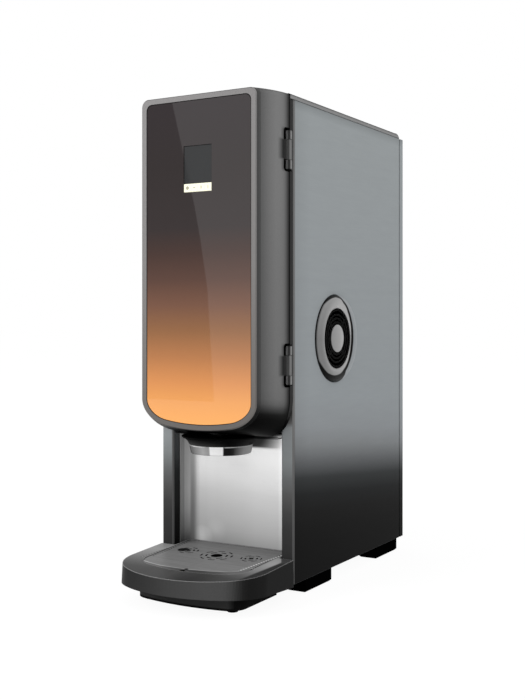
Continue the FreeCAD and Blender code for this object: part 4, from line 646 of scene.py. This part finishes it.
# One material for each material slot of the record
materials = {
    "graphite_metal": panel_finish(),
    "door_metal": door_finish(),
    "ring_metal": ring_finish(),
    "tray_plastic": tray_finish(),
    "grid_metal": grid_finish(),
    "black_plastic": finish("black_plastic", tone(10), rough=0.5, scale=600.0, specular=0.008),
    "vent_plastic": bezel_finish(),
    "cap_plastic": cap_finish(),
    "niche_steel": niche_finish(),
    "sheet_steel": finish("sheet_steel", tone(172, 174, 176), rough=0.4, metal=0.8, scale=30.0, uneven=0.08),
    "hinge_metal": finish("hinge_metal", tone(92), rough=0.35, metal=0.4, scale=400.0, edge=0.0006),
    "screw_steel": finish("screw_steel", tone(90), rough=0.35, metal=0.8, scale=400.0),
    "tinted_glass": printed_glass(),
    "display_glass": finish("display_glass", tone(48, 49, 50), rough=0.15, scale=50.0, uneven=0.02, bump=0.0,
                            coat=0.4, specular=0.1),
    "key_plastic": glow("key_plastic", tone(236, 234, 211), 0.32),
    "module_plastic": finish("module_plastic", tone(24), rough=0.6),
    "board_green": finish("board_green", tone(24, 74, 44), rough=0.35, scale=90.0, uneven=0.12),
    "seal_rubber": finish("seal_rubber", tone(22), rough=0.7),
    "hose_rubber": finish("hose_rubber", tone(206, 208, 204), rough=0.45),
    "clear_plastic": clear("clear_plastic", tone(214, 220, 222), 0.55),
    "white_plastic": finish("white_plastic", tone(226, 226, 220), rough=0.4),
    "motor_metal": finish("motor_metal", tone(150), rough=0.35, metal=0.7, scale=200.0),
    "boiler_steel": finish("boiler_steel", tone(190), rough=0.3, metal=0.9, stretch=(1, 1, 20), scale=40.0),
    "valve_brass": finish("valve_brass", tone(196, 160, 92), rough=0.3, metal=0.9, scale=120.0),
}

# Pieces with finishes of their own, most of them painted with light and shade: streaks are painted
# reflections, greys by the angle in degrees
fixed_reflection_streaks = [(-150, 60), (-125, 150), (-108, 168), (-89, 112), (-70, 56), (-53, 32), (-35, 92),
                 (-13, 150), (8, 60)]
moving_reflection_streaks = [(-150, 50), (-112, 76), (-89, 96), (-70, 66), (-53, 98), (-35, 120), (-13, 120), (8, 56)]
own_finishes = {
    "spout_ring": ring_steel(),
    "spout_housing": housing_finish(),
    # The nozzle is painted near black, as shade under the door
    "spout_nozzle": finish("nozzle_in_shade", tone(16), rough=0.6, specular=0.01),
    "shelf": shelf_finish(),
    "front_frame": frame_finish(),
    "door_hinge_fixed": barrel_finish("barrel_fixed", fixed_reflection_streaks),
    "door_hinge_moving": barrel_finish("barrel_moving", moving_reflection_streaks),
    "tray_carrier": carrier_finish(),
    # Black rubber feet, painted darker still as the shade under the cabinet
    "feet": finish("foot_rubber_in_shade", tone(3), rough=0.7, specular=0.0),
    # The grille's edges carry a painted highlight
    "vent_grille": finish("vent_grille", tone(5), rough=0.5, scale=500.0, edge=0.0003, specular=0.01,
                          rim_highlight=tone(84)),
}
slot_of = {part["node"]: part["material_slot"] for part in frame["record"]["subparts"]}
for name, obj in nodes.items():
    obj.data.materials.clear()
    obj.data.materials.append(own_finishes.get(name, materials[slot_of[name]]))


# A flat or solid piece from an outline in the XZ plane, facing the front
def plate(name, points, y_front, y_back, material, body):
    n = len(points)
    verts = [(x, y_front, z) for x, z in points] + [(x, y_back, z) for x, z in points]
    faces = [tuple(range(n)), tuple(range(2 * n - 1, n - 1, -1))]
    faces += [(i, i + n, (i + 1) % n + n, (i + 1) % n) for i in range(n)]
    mesh = bpy.data.meshes.new(name)
    mesh.from_pydata(verts, [], faces)
    mesh.materials.append(material)
    obj = bpy.data.objects.new(name, mesh)
    bpy.context.collection.objects.link(obj)
    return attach(obj, body)


# Faint marks on the four touch keys: a disc, a flat bar, an upright bar and a thin upright bar
def key_marks():
    ink = finish("key_ink", tone(176, 172, 150), rough=0.5)
    pitch = (keys_high.x - keys_low.x) / 4
    z = (keys_low.z + keys_high.z) / 2
    y = keys_low.y

    def circle(x, r):
        turns = [i * math.pi / 12 for i in range(24)]
        return [(x + r * math.cos(a), z + r * math.sin(a)) for a in turns]

    def bar(x, w, h):
        return [(x - w, z - h), (x + w, z - h), (x + w, z + h), (x - w, z + h)]

    shapes = [circle, bar, bar, bar]
    sizes = [(2.0 * MM,), (1.6 * MM, 0.35 * MM), (0.5 * MM, 1.8 * MM), (0.35 * MM, 2.0 * MM)]
    for i, (shape, size) in enumerate(zip(shapes, sizes)):
        x = keys_low.x + pitch * (i + 0.5)
        plate("key_mark_%d" % (i + 1), shape(x, *size), y - 0.1 * MM, y + 0.05 * MM, ink, "door")


key_marks()


# 1 for rays from the camera, mirrors and glass, which see a white room; other rays see the dimmer one
def light_path(tree):
    made = tree.nodes.new("ShaderNodeLightPath")
    total = tree.nodes.new("ShaderNodeMath")
    total.operation = "MAXIMUM"
    tree.links.new(made.outputs["Is Camera Ray"], total.inputs[0])
    both = tree.nodes.new("ShaderNodeMath")
    both.operation = "MAXIMUM"
    tree.links.new(made.outputs["Is Glossy Ray"], both.inputs[0])
    tree.links.new(made.outputs["Is Transmission Ray"], both.inputs[1])
    tree.links.new(both.outputs[0], total.inputs[1])
    return total.outputs[0]


# White floor with a trace of shade on it
def floor():
    bpy.ops.mesh.primitive_plane_add(size=30, location=(0, 0, 0))
    obj = bpy.context.object
    obj.name = "floor"
    s = Shader("floor")
    s.set(Base_Color=(0.8, 0.8, 0.8, 1), Roughness=0.9)
    s.bsdf.inputs["Specular IOR Level"].default_value = 0.0
    shown = s.node("ShaderNodeEmission", {"Color": (1, 1, 1, 1), "Strength": 0.93})
    shaded = s.node("ShaderNodeBsdfDiffuse", {"Color": (0.1, 0.1, 0.1, 1)})
    pale = s.node("ShaderNodeAddShader", {0: shown.outputs[0], 1: shaded.outputs[0]})
    mix = s.node("ShaderNodeMixShader", {0: light_path(s.tree), 1: s.bsdf.outputs[0], 2: pale.outputs[0]})
    s.tree.links.new(mix.outputs[0], s.tree.nodes["Material Output"].inputs[0])
    obj.data.materials.append(s.material)


def room():
    world = bpy.data.worlds.new("room")
    bpy.context.scene.world = world
    world.use_nodes = True
    tree = world.node_tree
    out = tree.nodes["World Output"]
    soft = tree.nodes["Background"]
    soft.inputs["Color"].default_value = (1, 1, 1, 1)
    soft.inputs["Strength"].default_value = 0.7
    white = tree.nodes.new("ShaderNodeBackground")
    white.inputs["Color"].default_value = (1, 1, 1, 1)
    white.inputs["Strength"].default_value = 1.0
    mix = tree.nodes.new("ShaderNodeMixShader")
    tree.links.new(light_path(tree), mix.inputs[0])
    tree.links.new(soft.outputs[0], mix.inputs[1])
    tree.links.new(white.outputs[0], mix.inputs[2])
    tree.links.new(mix.outputs[0], out.inputs[0])


# A square lamp that reflections don't see
def softbox(name, place, target, width, watts):
    data = bpy.data.lights.new(name, "AREA")
    data.shape = "SQUARE"
    data.size = width
    data.energy = watts
    obj = bpy.data.objects.new(name, data)
    bpy.context.collection.objects.link(obj)
    obj.location = place
    obj.rotation_euler = (Vector(target) - Vector(place)).to_track_quat("-Z", "Y").to_euler()
    obj.visible_glossy = False


# A grey card that only reflections see: its edge is the slanted border in the glass
def grey_card():
    ahead = 2.5
    y = cabinet_front - ahead
    edge = [(-1.549, -0.1), (-1.586, 0.433), (-1.619, 0.629), (-1.647, 0.764), (-1.762, 1.213), (-1.78, 1.3)]
    outline = [(-3.2, 1.3), (-3.2, -0.1)] + edge
    mesh = bpy.data.meshes.new("grey_card")
    mesh.from_pydata([(x, y, z) for x, z in outline], [], [tuple(range(len(outline)))])
    card = bpy.data.objects.new("grey_card", mesh)
    bpy.context.collection.objects.link(card)
    s = Shader("grey_card")
    shown = s.node("ShaderNodeEmission", {"Color": (1, 1, 1, 1), "Strength": 0.3})
    s.tree.links.new(shown.outputs[0], s.tree.nodes["Material Output"].inputs[0])
    mesh.materials.append(s.material)
    card.visible_camera = False
    card.visible_diffuse = False
    card.visible_transmission = False
    card.visible_shadow = False


floor()
room()
grey_card()
softbox("key_light", (-1.6, -2.6, 2.2), (0, 0, 0.3), width=2.0, watts=60)
softbox("side_light", (2.8, -0.4, 1.6), (0, 0, 0.3), width=1.6, watts=20)


# Camera: level, shifted, beyond the cabinet's front right edge
def camera():
    out_right, ahead, eye_height = 0.58596, 1.07487, 0.3261
    azimuth = math.radians(30.3)
    data = bpy.data.cameras.new("camera")
    data.sensor_width = 36.0
    data.lens = 54.55
    data.shift_x = 0.00025
    data.shift_y = -0.0461
    obj = bpy.data.objects.new("camera", data)
    bpy.context.collection.objects.link(obj)
    obj.location = (cabinet_side + out_right, cabinet_front - ahead, eye_height)
    look = Vector((-math.sin(azimuth), math.cos(azimuth), 0))
    obj.rotation_euler = look.to_track_quat("-Z", "Y").to_euler()
    bpy.context.scene.camera = obj


camera()
bpy.context.scene.view_settings.view_transform = "Standard"
